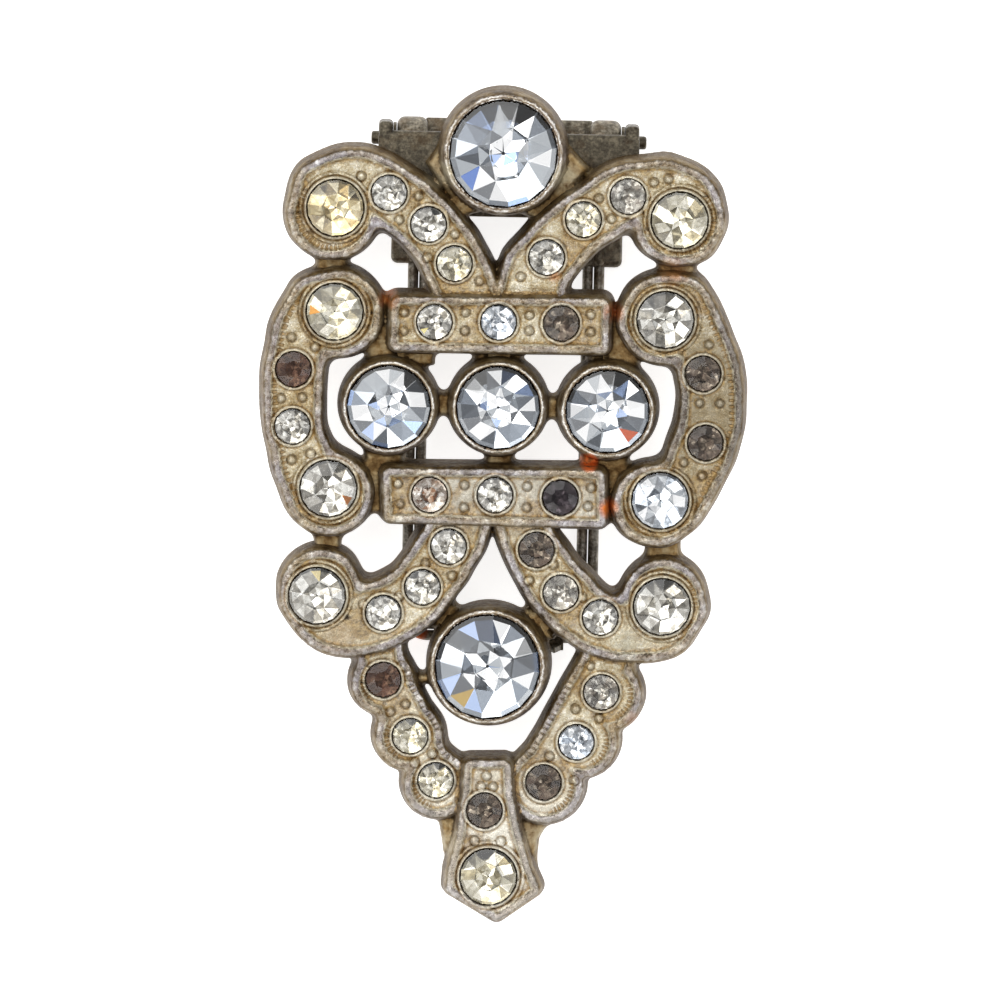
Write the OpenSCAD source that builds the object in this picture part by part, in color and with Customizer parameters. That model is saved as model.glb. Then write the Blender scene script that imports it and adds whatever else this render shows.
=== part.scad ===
// Dress clip: a cast openwork front set with round stones, and a sprung wire clip hinged behind its top.
// It lies on its back, face up: +Y runs to its top, +Z to the viewer, and the clip's lowest face is at Z = 0.

/* [Casting] */
// Height of the casting's flat back above the surface that the clip lies on
back_z = 4.3; // [4.3:0.1:4.8]
// Thickness of the struts and webs between the motifs
web_t = 1.8; // [1.4:0.1:2.2]
// Width that a cast wall gains from its rim down to the back
draft = 0.5; // [0.2:0.05:0.55]
// Width of the raised rim round each motif
rim_w = 0.45; // [0.3:0.05:0.55]
// Depth of the field inside a rim
field_d = 0.4; // [0.2:0.05:0.6]
// Radius of the fillets where webs and motifs meet
fillet_r = 0.25; // [0.1:0.05:0.35]
// Width of the collar round each small or medium stone
collar_w = 0.38; // [0.25:0.01:0.45]
// Radius of a grain bead
bead_r = 0.38; // [0.25:0.01:0.45]

/* [Stones] */
// Diameter of the top stone
top_d = 8; // [7.6:0.1:8.2]
// Diameter of the bottom stone
bottom_d = 7.8; // [7.4:0.1:8]
// Diameter of the three stones of the middle row
middle_d = 6.2; // [5.8:0.1:6.4]
// Diameter of the nine medium stones
medium_d = 4.2; // [4:0.1:4.4]
// Diameter of the small stones
small_d = 2.6; // [2.4:0.1:2.7]
// Gap between a stone and its seat
seat_gap = 0.05; // [0.03:0.01:0.08]
// Height of the crown for each unit of diameter
crown_ratio = 0.16; // [0.12:0.01:0.18]
// Depth of the pavilion for each unit of diameter
pavilion_ratio = 0.37; // [0.3:0.01:0.38]
// Width of the table for each unit of diameter
table_ratio = 0.52; // [0.45:0.01:0.6]

/* [Hinge] */
// Diameter of the hinge pin
pin_d = 1; // [0.8:0.05:1.1]
// Length of the hinge pin
pin_l = 20.7; // [20:0.1:21]
// Width of the bracket over its ears
bracket_w = 19.6; // [19.4:0.1:19.8]
// Thickness of an ear
ear_t = 0.95; // [0.8:0.05:1]
// Thickness of the sheet of the bracket's base
bracket_t = 0.6; // [0.5:0.05:0.65]
// Width of the clip plate over its knuckles
knuckle_span = 16.7; // [16.4:0.1:16.9]
// Width of one knuckle
knuckle_w = 2.25; // [2:0.05:2.4]
// Outer radius of a knuckle
knuckle_r = 1.65; // [1.5:0.05:1.7]
// Radial running clearance between the pin and the knuckles
run_gap = 0.04; // [0.03:0.01:0.06]
// Angle that the wire clip is opened from its closed place
clip_angle = 0; // [0:5:85]

/* [Wire clip] */
// Diameter of the clip's wires
wire_d = 0.8; // [0.7:0.05:0.82]
// Distance between the middles of two neighbouring wires
wire_pitch = 0.86; // [0.85:0.01:0.9]
// Width of the outer wire between the middles of its legs
wire_span = 14; // [13.6:0.1:14.2]
// Thickness of the clip plate
plate_t = 0.7; // [0.6:0.05:0.8]
// Height of the lugs and of the tooth bar
sleeve_h = 1.7; // [1.5:0.05:1.8]
// Number of teeth on the bar
tooth_count = 7; // [5:1:9]
// Gap between the points of the teeth and the back of the casting
tooth_gap = 0.3; // [0.2:0.05:0.5]

/* [Hidden] */

// Heights of the rims and bezels above the casting's back
upper_h = 3.2;
lower_h = 3.25;
v_h = 2.7;
bar_h = 3.7;
middle_h = 3.8;
bottom_h = 4;
top_h = 4.2;

// How far a girdle sits below the rim or bezel round it
small_drop = 0.4;
medium_drop = 0.3;
large_drop = 0.3;

// Thickness of a girdle, and width of the flat at the bottom of a seat for each unit of radius
girdle_t = 0.12;
seat_flat_ratio = 0.12;

// Rounding of the corners of the bars and the tip
corner_r = 0.45;

// How far the sloped shoulder of a motif stays below its rim, and how far stacked layers run into each other
shoulder_drop = 0.6;
lap = 0.4;

// Numbers of sides of round shapes, and the length by which cuts run past a face
round_sides = 48;
small_sides = 24;
bead_sides = 10;
eps = 0.1;

// Round stones: [name, x, y, diameter, height of the girdle's top above the back]
STONES = [
    ["stone_top", -0.4, 26.6, top_d, top_h - large_drop],
    ["stone_bottom", -0.8, -12, bottom_d, bottom_h - large_drop],
    ["stone_middle_left", -8.6, 7.4, middle_d, middle_h - large_drop],
    ["stone_middle", -0.4, 7.5, middle_d, middle_h - large_drop],
    ["stone_middle_right", 7.8, 7.4, middle_d, middle_h - large_drop],
    ["stone_upper_scroll_left", -12.9, 22.2, medium_d, upper_h - medium_drop],
    ["stone_upper_scroll_right", 12.9, 21.8, medium_d, upper_h - medium_drop],
    ["stone_arm_upper_left", -12.8, 14.4, medium_d, upper_h - medium_drop],
    ["stone_arm_upper_right", 12, 14.3, medium_d, upper_h - medium_drop],
    ["stone_arm_lower_left", -13, 1.1, medium_d, upper_h - medium_drop],
    ["stone_arm_lower_right", 11.9, 0.7, medium_d, upper_h - medium_drop],
    ["stone_lower_scroll_left", -13.7, -7, medium_d, lower_h - medium_drop],
    ["stone_lower_scroll_right", 12.2, -7.3, medium_d, lower_h - medium_drop],
    ["stone_tip", -0.4, -27.9, medium_d, bar_h - medium_drop],
    ["stone_upper_left_1", -8.9, 23.4, small_d, upper_h - small_drop],
    ["stone_upper_left_2", -5.9, 21.1, small_d, upper_h - small_drop],
    ["stone_upper_left_3", -3.9, 18.2, small_d, upper_h - small_drop],
    ["stone_upper_right_1", 9, 23.5, small_d, upper_h - small_drop],
    ["stone_upper_right_2", 5.7, 21.7, small_d, upper_h - small_drop],
    ["stone_upper_right_3", 3, 18.8, small_d, upper_h - small_drop],
    ["stone_top_bar_1", -5.3, 13.8, small_d, bar_h - small_drop],
    ["stone_top_bar_2", -0.5, 13.9, small_d, bar_h - small_drop],
    ["stone_top_bar_3", 4.2, 13.9, small_d, bar_h - small_drop],
    ["stone_bottom_bar_1", -5.4, 0.8, small_d, bar_h - small_drop],
    ["stone_bottom_bar_2", -0.5, 0.9, small_d, bar_h - small_drop],
    ["stone_bottom_bar_3", 4.4, 0.8, small_d, bar_h - small_drop],
    ["stone_side_left_1", -15.8, 10, small_d, upper_h - small_drop],
    ["stone_side_left_2", -15.8, 5.7, small_d, upper_h - small_drop],
    ["stone_side_right_1", 14.9, 10.3, small_d, upper_h - small_drop],
    ["stone_side_right_2", 15.2, 5.1, small_d, upper_h - small_drop],
    ["stone_lower_left_1", -3.9, -3.1, small_d, lower_h - small_drop],
    ["stone_lower_left_2", -5.8, -6.2, small_d, lower_h - small_drop],
    ["stone_lower_left_3", -8.7, -8.2, small_d, lower_h - small_drop],
    ["stone_lower_right_1", 2.7, -3.2, small_d, lower_h - small_drop],
    ["stone_lower_right_2", 4.6, -6.4, small_d, lower_h - small_drop],
    ["stone_lower_right_3", 7.6, -8.2, small_d, lower_h - small_drop],
    ["stone_v_left_1", -8.6, -13.3, small_d, v_h - small_drop],
    ["stone_v_left_2", -6.5, -17.5, small_d, v_h - small_drop],
    ["stone_v_left_3", -4.5, -20.8, small_d, v_h - small_drop],
    ["stone_v_right_1", 7.8, -13.9, small_d, v_h - small_drop],
    ["stone_v_right_2", 6, -17.7, small_d, v_h - small_drop],
    ["stone_v_right_3", 3.6, -20.8, small_d, v_h - small_drop],
    ["stone_tip_small", -0.8, -22.9, small_d, bar_h - small_drop],
];
name_col = 0;
x_col = 1;
y_col = 2;
d_col = 3;
girdle_col = 4;

// Bezels of the five large stones: [x, y, lip radius, height]
BEZELS = [
    [-0.4, 26.6, 4.4, top_h],
    [-0.8, -12, 4.25, bottom_h],
    [-8.6, 7.4, 3.4, middle_h],
    [-0.4, 7.5, 3.4, middle_h],
    [7.8, 7.4, 3.45, middle_h],
];

// Bands of the motifs, each a row of stations along its middle: [x, y, half width]
UPPER_LEFT_BAND = [
    [-14.2, 23.9, 1.65], [-12.7, 24.5, 1.8], [-11, 24.3, 2.15], [-9.3, 23.5, 2.25], [-7.5, 22.3, 2.25],
    [-5.7, 20.7, 2.2], [-4.3, 18.9, 2.2], [-3.2, 16.7, 2.3], [-2.8, 15.3, 2.45],
];
UPPER_RIGHT_BAND = [
    [13.8, 23.7, 1.65], [11.8, 24.4, 1.8], [9.9, 24.1, 2], [8.4, 23.4, 2.25], [7, 22.5, 2.2],
    [5.4, 21.3, 2.2], [3.7, 19.7, 2.25], [2.3, 17.8, 2.4], [1.7, 15.4, 2.5],
];
ARM_LEFT_BAND = [
    [-14.4, 15, 1.8], [-15.2, 13.3, 2], [-15.5, 11.5, 2.05], [-15.8, 9.6, 2.1], [-15.8, 7.5, 2.05],
    [-15.6, 5.4, 2.05], [-15.1, 3.6, 2.1], [-14.5, 1.7, 2.1], [-13.8, 0.1, 1.8],
];
ARM_RIGHT_BAND = [
    [13.4, 15.7, 1.8], [14.2, 14, 1.95], [14.9, 12.2, 2.05], [15.4, 10.2, 2.25], [15.6, 8.1, 2.25],
    [15.4, 6, 2.25], [14.8, 4.1, 2.25], [14, 2.2, 2.15], [13.2, 0.4, 1.95], [12.2, -0.6, 1.8],
];
LOWER_LEFT_BAND = [
    [-14.6, -7.3, 1.65], [-13.6, -8.8, 1.65], [-11.9, -9.2, 2.15], [-9.7, -8.6, 2.45], [-8, -7.9, 2.4],
    [-6.3, -6.7, 2.3], [-5.1, -5.1, 2.25], [-4.3, -3.8, 2.25], [-3.6, -2.6, 2.2], [-2.9, -0.3, 2.2],
];
LOWER_RIGHT_BAND = [
    [13.6, -7.7, 1.65], [12.5, -9, 1.9], [10.9, -9.2, 2.15], [8.9, -9, 2.25], [7.4, -8.6, 2.2],
    [5.9, -7.6, 2.2], [4.7, -6.4, 2.25], [3.6, -5.1, 2.15], [2.8, -3.8, 2.05], [2, -2.4, 1.9],
    [1.4, -0.6, 1.9],
];
V_LEFT_BAND = [
    [-9, -10.9, 1.65], [-8.25, -13.4, 1.6], [-7.05, -15.7, 1.75], [-5.75, -18.1, 1.5], [-4.35, -20.4, 1.45],
];
V_RIGHT_BAND = [
    [8.25, -11.5, 1.85], [6.5, -14.3, 1.65], [5.1, -17, 1.65], [3.6, -19.5, 1.55],
];

// Round ends and scallops of the motifs: [x, y, radius]
UPPER_DISCS = [
    [-12.95, 21.75, 3.05], [12.75, 21.85, 3.2],
    [-12.6, 14.3, 3.2], [-12.8, 0.7, 2.95], [11.9, 14.3, 3.25], [11.4, 0.4, 2.9],
];
LOWER_DISCS = [[-13.4, -6.4, 2.85], [12.3, -6.8, 3]];
V_DISCS = [
    [-8.6, -13.5, 2.25], [-6.6, -17.5, 2.4], [-4.4, -21.1, 2.4],
    [8.1, -14.1, 2.6], [6.4, -17.6, 2.6], [3.7, -21, 2.75],
];

// Corners of the two bars and of the pointed tip: [x, y]
TOP_BAR = [[-8.5, 15.6], [7.7, 15.8], [7.7, 11.8], [-8.5, 11.7]];
BOTTOM_BAR = [[-8.9, 2.7], [7.6, 2.9], [7.8, -1.3], [-8.7, -1.2]];
TIP = [
    [-2.3, -19.2], [1, -19.1], [1.2, -21.6], [1.8, -24.3], [2.7, -27.2], [3.5, -28.9],
    [0.3, -31.2], [-3.5, -29], [-3.4, -27.5], [-2.8, -24.9], [-2.4, -21.7],
];

// Struts and webs between the motifs: [x, y, width, height]
STRUTS = [
    [-13.1, 18.2, 2.4, 3], [12.8, 18, 2.8, 3], [-13, -2.7, 2.1, 3], [12.2, -3, 2.7, 3],
    [-9, 13.9, 2.4, 3.6], [8.2, 13.3, 2.4, 3.2], [-9.3, 0.9, 2.4, 3.6], [8.1, 0.8, 2.4, 3.8],
    [-4.5, 7.5, 2, 1.9], [3.7, 7.4, 2, 1.9],
    [-8.9, 3.5, 3, 2], [-0.2, 3.6, 2.1, 2.2], [7.7, 3.6, 3.6, 2],
    [-7.8, 11.3, 5.2, 2], [-0.5, 11.4, 3.6, 2], [8.2, 11.4, 3.8, 2],
    [-5.5, -13.2, 2, 0.9],
];

// Corners of the webs beside the top bezel, above the bottom bezel and beside the tip: [x, y]
WEBS = [
    [[-6.3, 25.6], [-5.2, 27], [-2.4, 24], [-2.2, 21.9], [-3.4, 21.6]],
    [[6.2, 25.4], [4.6, 27], [1.6, 24], [1.2, 21.8], [2.6, 21.5]],
    [[-5.3, -9.2], [-4.9, -7.6], [-3.2, -7.5], [-2.4, -8.4], [-4, -9.6]],
    [[1.6, -8.2], [2, -7.6], [3.4, -8.2], [4.3, -10.2], [3, -10]],
    [[-4.3, -23.6], [-3.8, -26.4], [-2, -26], [-2, -19], [-3.2, -19]],
    [[1, -19], [2.4, -19.2], [4.4, -23.4], [3.4, -25.2], [3.2, -27.2], [1, -26]],
];

// Grain beads: [x, y]
UPPER_BEADS = [
    [-11, 24.6], [-6.7, 23.2], [-8.1, 21.4], [-3.9, 20.4], [-5.9, 18.6], [-2, 16.9],
    [12, 24.9], [10.9, 24.6], [6.8, 23.3], [7.8, 21.8], [1.1, 17.3],
    [-14.2, 11.7], [-16, 12.4], [-16.7, 7.8], [-15.1, 7.9], [-15.8, 3.2], [-14.4, 3.7],
    [15.3, 12.5], [14.7, 8.1], [16.2, 8.1], [13.6, 3.6], [15, 2.6],
];
BAR_BEADS = [
    [-7.6, 14.5], [-7.6, 13.1], [-3, 14.6], [-3, 13.2], [1.8, 14.5], [1.8, 13.3], [6.4, 14.6], [6.4, 13.3],
    [-7.8, 1.6], [-7.6, 0.1], [-2.8, 1.6], [-2.8, -0.1], [1.9, 1.6], [1.9, 0], [6.7, 1.6], [6.5, 0.2],
    [-0.7, -20.3], [-1.1, -21.1], [-0.2, -21.1], [-1.5, -25.2], [0.5, -25.2],
];
LOWER_BEADS = [[-5.6, -4.4], [-7.5, -6.9], [-10.2, -7.6], [-3.6, -5.3], [4, -4.3], [2.2, -5.5], [6.2, -6.7]];
V_BEADS = [
    [-7.2, -12.2], [-6.9, -15.1], [-8, -15.7], [-6.1, -19.5], [-4.8, -18.8],
    [5.9, -15.2], [7.7, -15.9], [6.9, -11.9], [4, -18.8], [5.9, -20.6],
];

// Place of the hinge and of the clip's parts
hinge_y = 27.2;
hinge_z = 1.75;
base_y = [22.4, 27.9];
ear_y = [25.6, 28.6];
plate_y = [21.3, 28.7];
plate_inset = 0.02;
lug_x = [5, 8.7];
lug_y = [17.7, 22.2];
lug_r = 0.8;
wire_z = sleeve_h / 2;
wire_top = 21.2;
outer_cross_y = -10.4;
bend_r = 1.6;
slot_gap = 0.03;
bar_w = 9.8;
bar_wall = 0.45;
tooth_t = 0.45;
tooth_foot_ratio = 0.8;
tooth_point_w = 0.12;
ear_gap = 0.01;
rivet_d = 1.6;
rivet_head_d = 2.4;
rivet_head_h = 0.45;
rivet_gap = 0.03;
rivet_x = 6.6;
rivet_y = 24;
spring_l = 8;
spring_r = 0.88;
spring_gap = 0.05;

// One row of a list, with the first and last rows standing in past the ends
function row_at(rows, i) = rows[max(0, min(len(rows) - 1, i))];

// A point on the smooth curve through the rows, t of the way from row i to the next
function curve_point(rows, i, t) =
    let (
        a = row_at(rows, i - 1),
        b = row_at(rows, i),
        c = row_at(rows, i + 1),
        d = row_at(rows, i + 2)
    )
    b + t * (c - a) / 2 + t * t * (a - 2.5 * b + 2 * c - d / 2) + t * t * t * (1.5 * (b - c) + (d - a) / 2);

// The smooth curve through the rows, as a closer list of rows
function curve(rows, steps = 3) = [
    for (i = [0 : len(rows) - 2], k = [0 : steps - 1]) curve_point(rows, i, k / steps),
    rows[len(rows) - 1],
];

// Unit vector square to the curve at row i, on its left
function left_of(rows, i) =
    let (a = row_at(rows, i - 1), b = row_at(rows, i + 1), along = [b.x - a.x, b.y - a.y])
    [-along.y, along.x] / norm(along);

module discs(rows) {
    for (row = rows) translate([row.x, row.y]) circle(r = row.z, $fn = round_sides);
}

// A flat band along its stations, with round ends
module band(stations) {
    path = curve(stations);
    last = len(path) - 1;
    polygon([
        for (i = [0 : last]) [path[i].x, path[i].y] + path[i].z * left_of(path, i),
        for (i = [last : -1 : 0]) [path[i].x, path[i].y] - path[i].z * left_of(path, i),
    ]);
    discs([path[0], path[last]]);
}

// A polygon with its corners rounded
module rounded(points) {
    offset(r = corner_r, $fn = small_sides) offset(delta = -corner_r) polygon(points);
}

// A flat shape pushed up from one height to another above the casting's back
module layer(from_h, to_h) {
    translate([0, 0, back_z + from_h]) linear_extrude(to_h - from_h) children();
}

// Flat outlines of the four groups of motifs
module upper_outline() {
    band(UPPER_LEFT_BAND);
    band(UPPER_RIGHT_BAND);
    band(ARM_LEFT_BAND);
    band(ARM_RIGHT_BAND);
    discs(UPPER_DISCS);
}

module lower_outline() {
    band(LOWER_LEFT_BAND);
    band(LOWER_RIGHT_BAND);
    discs(LOWER_DISCS);
}

module v_outline() {
    band(V_LEFT_BAND);
    band(V_RIGHT_BAND);
    discs(V_DISCS);
}

module bar_outline() {
    rounded(TOP_BAR);
    rounded(BOTTOM_BAR);
    rounded(TIP);
}

// Collars and beads, which stand up in the fields
module collars() {
    for (row = STONES) {
        if (row[d_col] < middle_d)
            translate([row[x_col], row[y_col]]) circle(d = row[d_col] + 2 * collar_w, $fn = small_sides);
    }
}

module beads(rows) {
    for (row = rows) translate([row.x, row.y]) circle(r = bead_r, $fn = bead_sides);
}

// A group of motifs: shoulder, top and recessed field, with its collars and beads left standing
module motifs(rim_h, bead_rows) {
    shoulder_h = rim_h - shoulder_drop;
    difference() {
        union() {
            layer(web_t - lap, shoulder_h) offset(delta = draft / 2) children();
            layer(shoulder_h - lap, rim_h) offset(delta = 0) children();
        }
        layer(rim_h - field_d, rim_h + eps) offset(delta = 0) difference() {
            offset(delta = -rim_w) children();
            collars();
            beads(bead_rows);
        }
    }
}

// The lowest layer: every motif grown by its draft, with the struts and webs, filleted where they meet
module ground_outline() {
    offset(r = -fillet_r, $fn = small_sides) offset(delta = fillet_r) {
        offset(delta = draft) {
            upper_outline();
            lower_outline();
            v_outline();
            bar_outline();
        }
        for (row = BEZELS) translate([row.x, row.y]) circle(r = row.z + draft / 2, $fn = round_sides);
        for (row = STRUTS) translate([row[0], row[1]]) square([row[2], row[3]], center = true);
        for (corners = WEBS) polygon(corners);
    }
}

// The round metal setting of a large stone
module bezel(lip_r, height) {
    translate([0, 0, back_z]) cylinder(r1 = lip_r + draft, r2 = lip_r, h = height, $fn = round_sides);
}

// The hollow that a stone sits in: straight down to its girdle, then a cone round its pavilion
module seat(row) {
    r = row[d_col] / 2 + seat_gap;
    rim_z = back_z + row[girdle_col] + lap + eps;
    cone_top_z = back_z + row[girdle_col] - girdle_t - seat_gap;
    cone_low_z = cone_top_z - pavilion_ratio * row[d_col];
    translate([row[x_col], row[y_col], 0]) rotate_extrude($fn = round_sides) polygon([
        [0, cone_low_z],
        [seat_flat_ratio * r, cone_low_z],
        [r, cone_top_z],
        [r, rim_z],
        [0, rim_z],
    ]);
}

// A cast stud that holds the bracket, with its head under the bracket's base
module rivet() {
    head_z = back_z - bracket_t - rivet_head_h;
    translate([0, 0, head_z]) cylinder(d = rivet_d, h = back_z - head_z + eps, $fn = round_sides);
    translate([0, 0, head_z]) cylinder(d = rivet_head_d, h = rivet_head_h - rivet_gap, $fn = round_sides);
}

module casting() {
    color("tan") {
        difference() {
            union() {
                layer(0, web_t) ground_outline();
                motifs(upper_h, UPPER_BEADS) upper_outline();
                motifs(lower_h, LOWER_BEADS) lower_outline();
                motifs(v_h, V_BEADS) v_outline();
                motifs(bar_h, BAR_BEADS) bar_outline();
                for (row = BEZELS) translate([row.x, row.y, 0]) bezel(row.z, row[3]);
            }
            for (row = STONES) seat(row);
        }
        for (side = [-1, 1]) translate([side * rivet_x, rivet_y, 0]) rivet();
    }
}

// Corners of one ring of a stone: count corners at a radius and height, turned by part of a step
function ring(count, r, z, turn) = [
    for (i = [0 : count - 1]) [r * cos((i + turn) * 360 / count), r * sin((i + turn) * 360 / count), z]
];

// A round cut stone with an eight-sided table, 24 crown facets and 16 pavilion facets
module cut_stone(row) {
    d = row[d_col];
    sides = 16;
    table_sides = 8;
    points = concat(
        ring(table_sides, table_ratio * d / 2, crown_ratio * d, 0),
        ring(sides, d / 2, 0, 0),
        ring(sides, d / 2, -girdle_t, 0),
        [[0, 0, -girdle_t - pavilion_ratio * d]]
    );
    top = table_sides;
    low = top + sides;
    culet = low + sides;
    faces = [
        [for (i = [table_sides - 1 : -1 : 0]) i],
        for (i = [0 : table_sides - 1]) each [
            [i, (i + 1) % table_sides, top + 2 * i + 1],
            [i, top + 2 * i + 1, top + 2 * i],
            [(i + 1) % table_sides, top + (2 * i + 2) % sides, top + 2 * i + 1],
        ],
        for (i = [0 : sides - 1]) each [
            [top + i, top + (i + 1) % sides, low + (i + 1) % sides, low + i],
            [low + i, low + (i + 1) % sides, culet],
        ],
    ];
    translate([row[x_col], row[y_col], back_z + row[girdle_col]]) polyhedron(points, faces);
}

module stone(name) {
    row = STONES[search([name], STONES)[0]];
    color(row[d_col] > medium_d ? "lightsteelblue" : "beige") cut_stone(row);
}

// A cylinder along X, centred on x = 0
module rod(d, l, sides = round_sides) {
    rotate([0, 90, 0]) cylinder(d = d, h = l, center = true, $fn = sides);
}

module at_hinge() {
    translate([0, hinge_y, hinge_z]) children();
}

// What swings with the wire clip
module swung() {
    at_hinge() rotate([clip_angle, 0, 0]) translate([0, -hinge_y, -hinge_z]) children();
}

module hinge_bracket() {
    ear_r = ear_y[1] - hinge_y;
    base_z = back_z - bracket_t;
    color("dimgray") difference() {
        union() {
            translate([-bracket_w / 2, base_y[0], base_z])
                cube([bracket_w, base_y[1] - base_y[0], bracket_t]);
            for (side = [-1, 1]) translate([side * (bracket_w - ear_t) / 2, 0, 0]) {
                at_hinge() rod(2 * ear_r, ear_t);
                translate([-ear_t / 2, ear_y[0], hinge_z])
                    cube([ear_t, base_y[1] - ear_y[0], back_z - hinge_z]);
            }
        }
        at_hinge() rod(pin_d + 2 * ear_gap, bracket_w + 2 * eps);
        for (side = [-1, 1]) translate([side * rivet_x, rivet_y, base_z - eps])
            cylinder(d = rivet_d + 2 * rivet_gap, h = bracket_t + 2 * eps, $fn = round_sides);
    }
}

module hinge_pin() {
    color("silver") at_hinge() rod(pin_d, pin_l);
}

module hinge_spring() {
    color("gray") at_hinge() difference() {
        rod(2 * spring_r, spring_l);
        rod(pin_d + 2 * spring_gap, spring_l + 2 * eps);
    }
}

// One lug: a sleeve with rounded lower corners that holds the ends of two wires
module lug() {
    slot_w = wire_pitch + wire_d + 2 * slot_gap;
    slot_h = wire_d + 2 * slot_gap;
    slot_x = (wire_span - wire_pitch) / 2;
    difference() {
        linear_extrude(sleeve_h) polygon([
            [lug_x[1], lug_y[1]],
            [lug_x[0], lug_y[1]],
            for (a = [180 : 15 : 270]) [lug_x[0] + lug_r, lug_y[0] + lug_r] + lug_r * [cos(a), sin(a)],
            for (a = [270 : 15 : 360]) [lug_x[1] - lug_r, lug_y[0] + lug_r] + lug_r * [cos(a), sin(a)],
        ]);
        translate([slot_x - slot_w / 2, lug_y[0] - eps, wire_z - slot_h / 2])
            cube([slot_w, wire_top - lug_y[0] + eps + slot_gap, slot_h]);
    }
}

module clip_plate() {
    knuckle_x = (knuckle_span - knuckle_w) / 2;
    plate_w = knuckle_span - 2 * plate_inset;
    tongue_w = knuckle_span - 2 * knuckle_w;
    color("dimgray") swung() difference() {
        union() {
            translate([-plate_w / 2, plate_y[0], 0]) cube([plate_w, hinge_y - plate_y[0], plate_t]);
            translate([-tongue_w / 2, plate_y[0], 0]) cube([tongue_w, plate_y[1] - plate_y[0], plate_t]);
            for (side = [-1, 1]) translate([side * knuckle_x, 0, 0]) at_hinge() rod(2 * knuckle_r, knuckle_w);
            lug();
            mirror([1, 0, 0]) lug();
        }
        at_hinge() rod(pin_d + 2 * run_gap, knuckle_span + 2 * eps);
    }
}

// A wire bent to a U: two legs, two round corners and the cross piece
module bent_wire(span, cross_y, corner) {
    leg_x = span / 2;
    corner_y = cross_y + corner;
    for (side = [-1, 1]) {
        translate([side * leg_x, corner_y, wire_z])
            rotate([-90, 0, 0]) cylinder(d = wire_d, h = wire_top - corner_y, $fn = small_sides);
        translate([side * (leg_x - corner), corner_y, wire_z]) rotate([0, 0, side > 0 ? -90 : 180])
            rotate_extrude(angle = 90, $fn = round_sides) translate([corner, 0])
                circle(d = wire_d, $fn = small_sides);
    }
    translate([0, cross_y, wire_z]) rod(wire_d, span - 2 * corner, small_sides);
}

module outer_wire() {
    color("slategray") swung() bent_wire(wire_span, outer_cross_y, bend_r);
}

module inner_wire() {
    color("slategray") swung()
        bent_wire(wire_span - 2 * wire_pitch, outer_cross_y + wire_pitch, bend_r - wire_pitch);
}

// A folded strip round the wires' cross pieces, with a row of teeth that point at the casting's back
module tooth_bar() {
    slot_w = wire_pitch + wire_d + 2 * slot_gap;
    slot_h = wire_d + 2 * slot_gap;
    middle_y = outer_cross_y + wire_pitch / 2;
    low_y = middle_y - slot_w / 2 - bar_wall;
    pitch = bar_w / tooth_count;
    foot_w = tooth_foot_ratio * pitch;
    tooth_h = back_z - tooth_gap - sleeve_h + eps;
    color("dimgray") swung() {
        difference() {
            translate([-bar_w / 2, low_y, 0]) cube([bar_w, slot_w + 2 * bar_wall, sleeve_h]);
            translate([-bar_w / 2 - eps, middle_y - slot_w / 2, wire_z - slot_h / 2])
                cube([bar_w + 2 * eps, slot_w, slot_h]);
        }
        for (i = [0 : tooth_count - 1])
            translate([-bar_w / 2 + (i + 0.5) * pitch, low_y + tooth_t, sleeve_h - eps])
                rotate([90, 0, 0]) linear_extrude(tooth_t) polygon([
                    [-foot_w / 2, 0],
                    [foot_w / 2, 0],
                    [tooth_point_w / 2, tooth_h],
                    [-tooth_point_w / 2, tooth_h],
                ]);
    }
}

casting();
for (row = STONES) stone(row[name_col]);
hinge_bracket();
hinge_pin();
hinge_spring();
clip_plate();
outer_wire();
inner_wire();
tooth_bar();
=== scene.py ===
"""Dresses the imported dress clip: cast front, foil-backed stones, worn clip, pale floor and soft light."""

import math
from contextlib import contextmanager

import bmesh
import bpy
import numpy as np
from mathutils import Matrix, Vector
from mathutils.geometry import delaunay_2d_cdt


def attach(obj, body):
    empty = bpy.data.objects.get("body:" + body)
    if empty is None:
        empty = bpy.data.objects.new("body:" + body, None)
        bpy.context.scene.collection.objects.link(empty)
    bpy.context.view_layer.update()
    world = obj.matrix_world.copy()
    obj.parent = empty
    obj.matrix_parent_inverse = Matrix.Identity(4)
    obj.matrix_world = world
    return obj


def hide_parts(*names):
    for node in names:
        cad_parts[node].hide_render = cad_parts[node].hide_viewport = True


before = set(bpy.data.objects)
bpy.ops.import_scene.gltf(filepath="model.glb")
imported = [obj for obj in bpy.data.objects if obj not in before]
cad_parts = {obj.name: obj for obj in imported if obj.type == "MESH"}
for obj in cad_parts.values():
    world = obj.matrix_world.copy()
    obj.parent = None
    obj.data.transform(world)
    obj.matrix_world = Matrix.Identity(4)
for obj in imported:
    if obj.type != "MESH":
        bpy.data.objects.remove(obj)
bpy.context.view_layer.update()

MM = 0.001
SEED = 7
SEED_STEP = 31

# Angles in degrees above which an edge is shaded sharp
CAST_SHARP = 62
METAL_SHARP = 40
COIL_SHARP = 50

# Main sizes of the part, in millimetres
BACK_Z = 4.3
WEB_T = 1.8
DRAFT = 0.5
RIM_W = 0.45
FIELD_D = 0.36
BEAD_R = 0.33
TICK_PITCH = 0.42
TINY_BEAD_PITCH = 0.44
UPPER_H = 3.2
LOWER_H = 3.25
V_H = 2.7
BAR_H = 3.7
MIDDLE_H = 3.8
BOTTOM_H = 4.0
TOP_H = 4.2
TOP_D = 8.0
BOTTOM_D = 7.8
MIDDLE_D = 6.2
MEDIUM_D = 4.2
SMALL_D = 2.6
CORNER_R = 0.45
HINGE_Y = 27.2
HINGE_Z = 1.75

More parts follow.
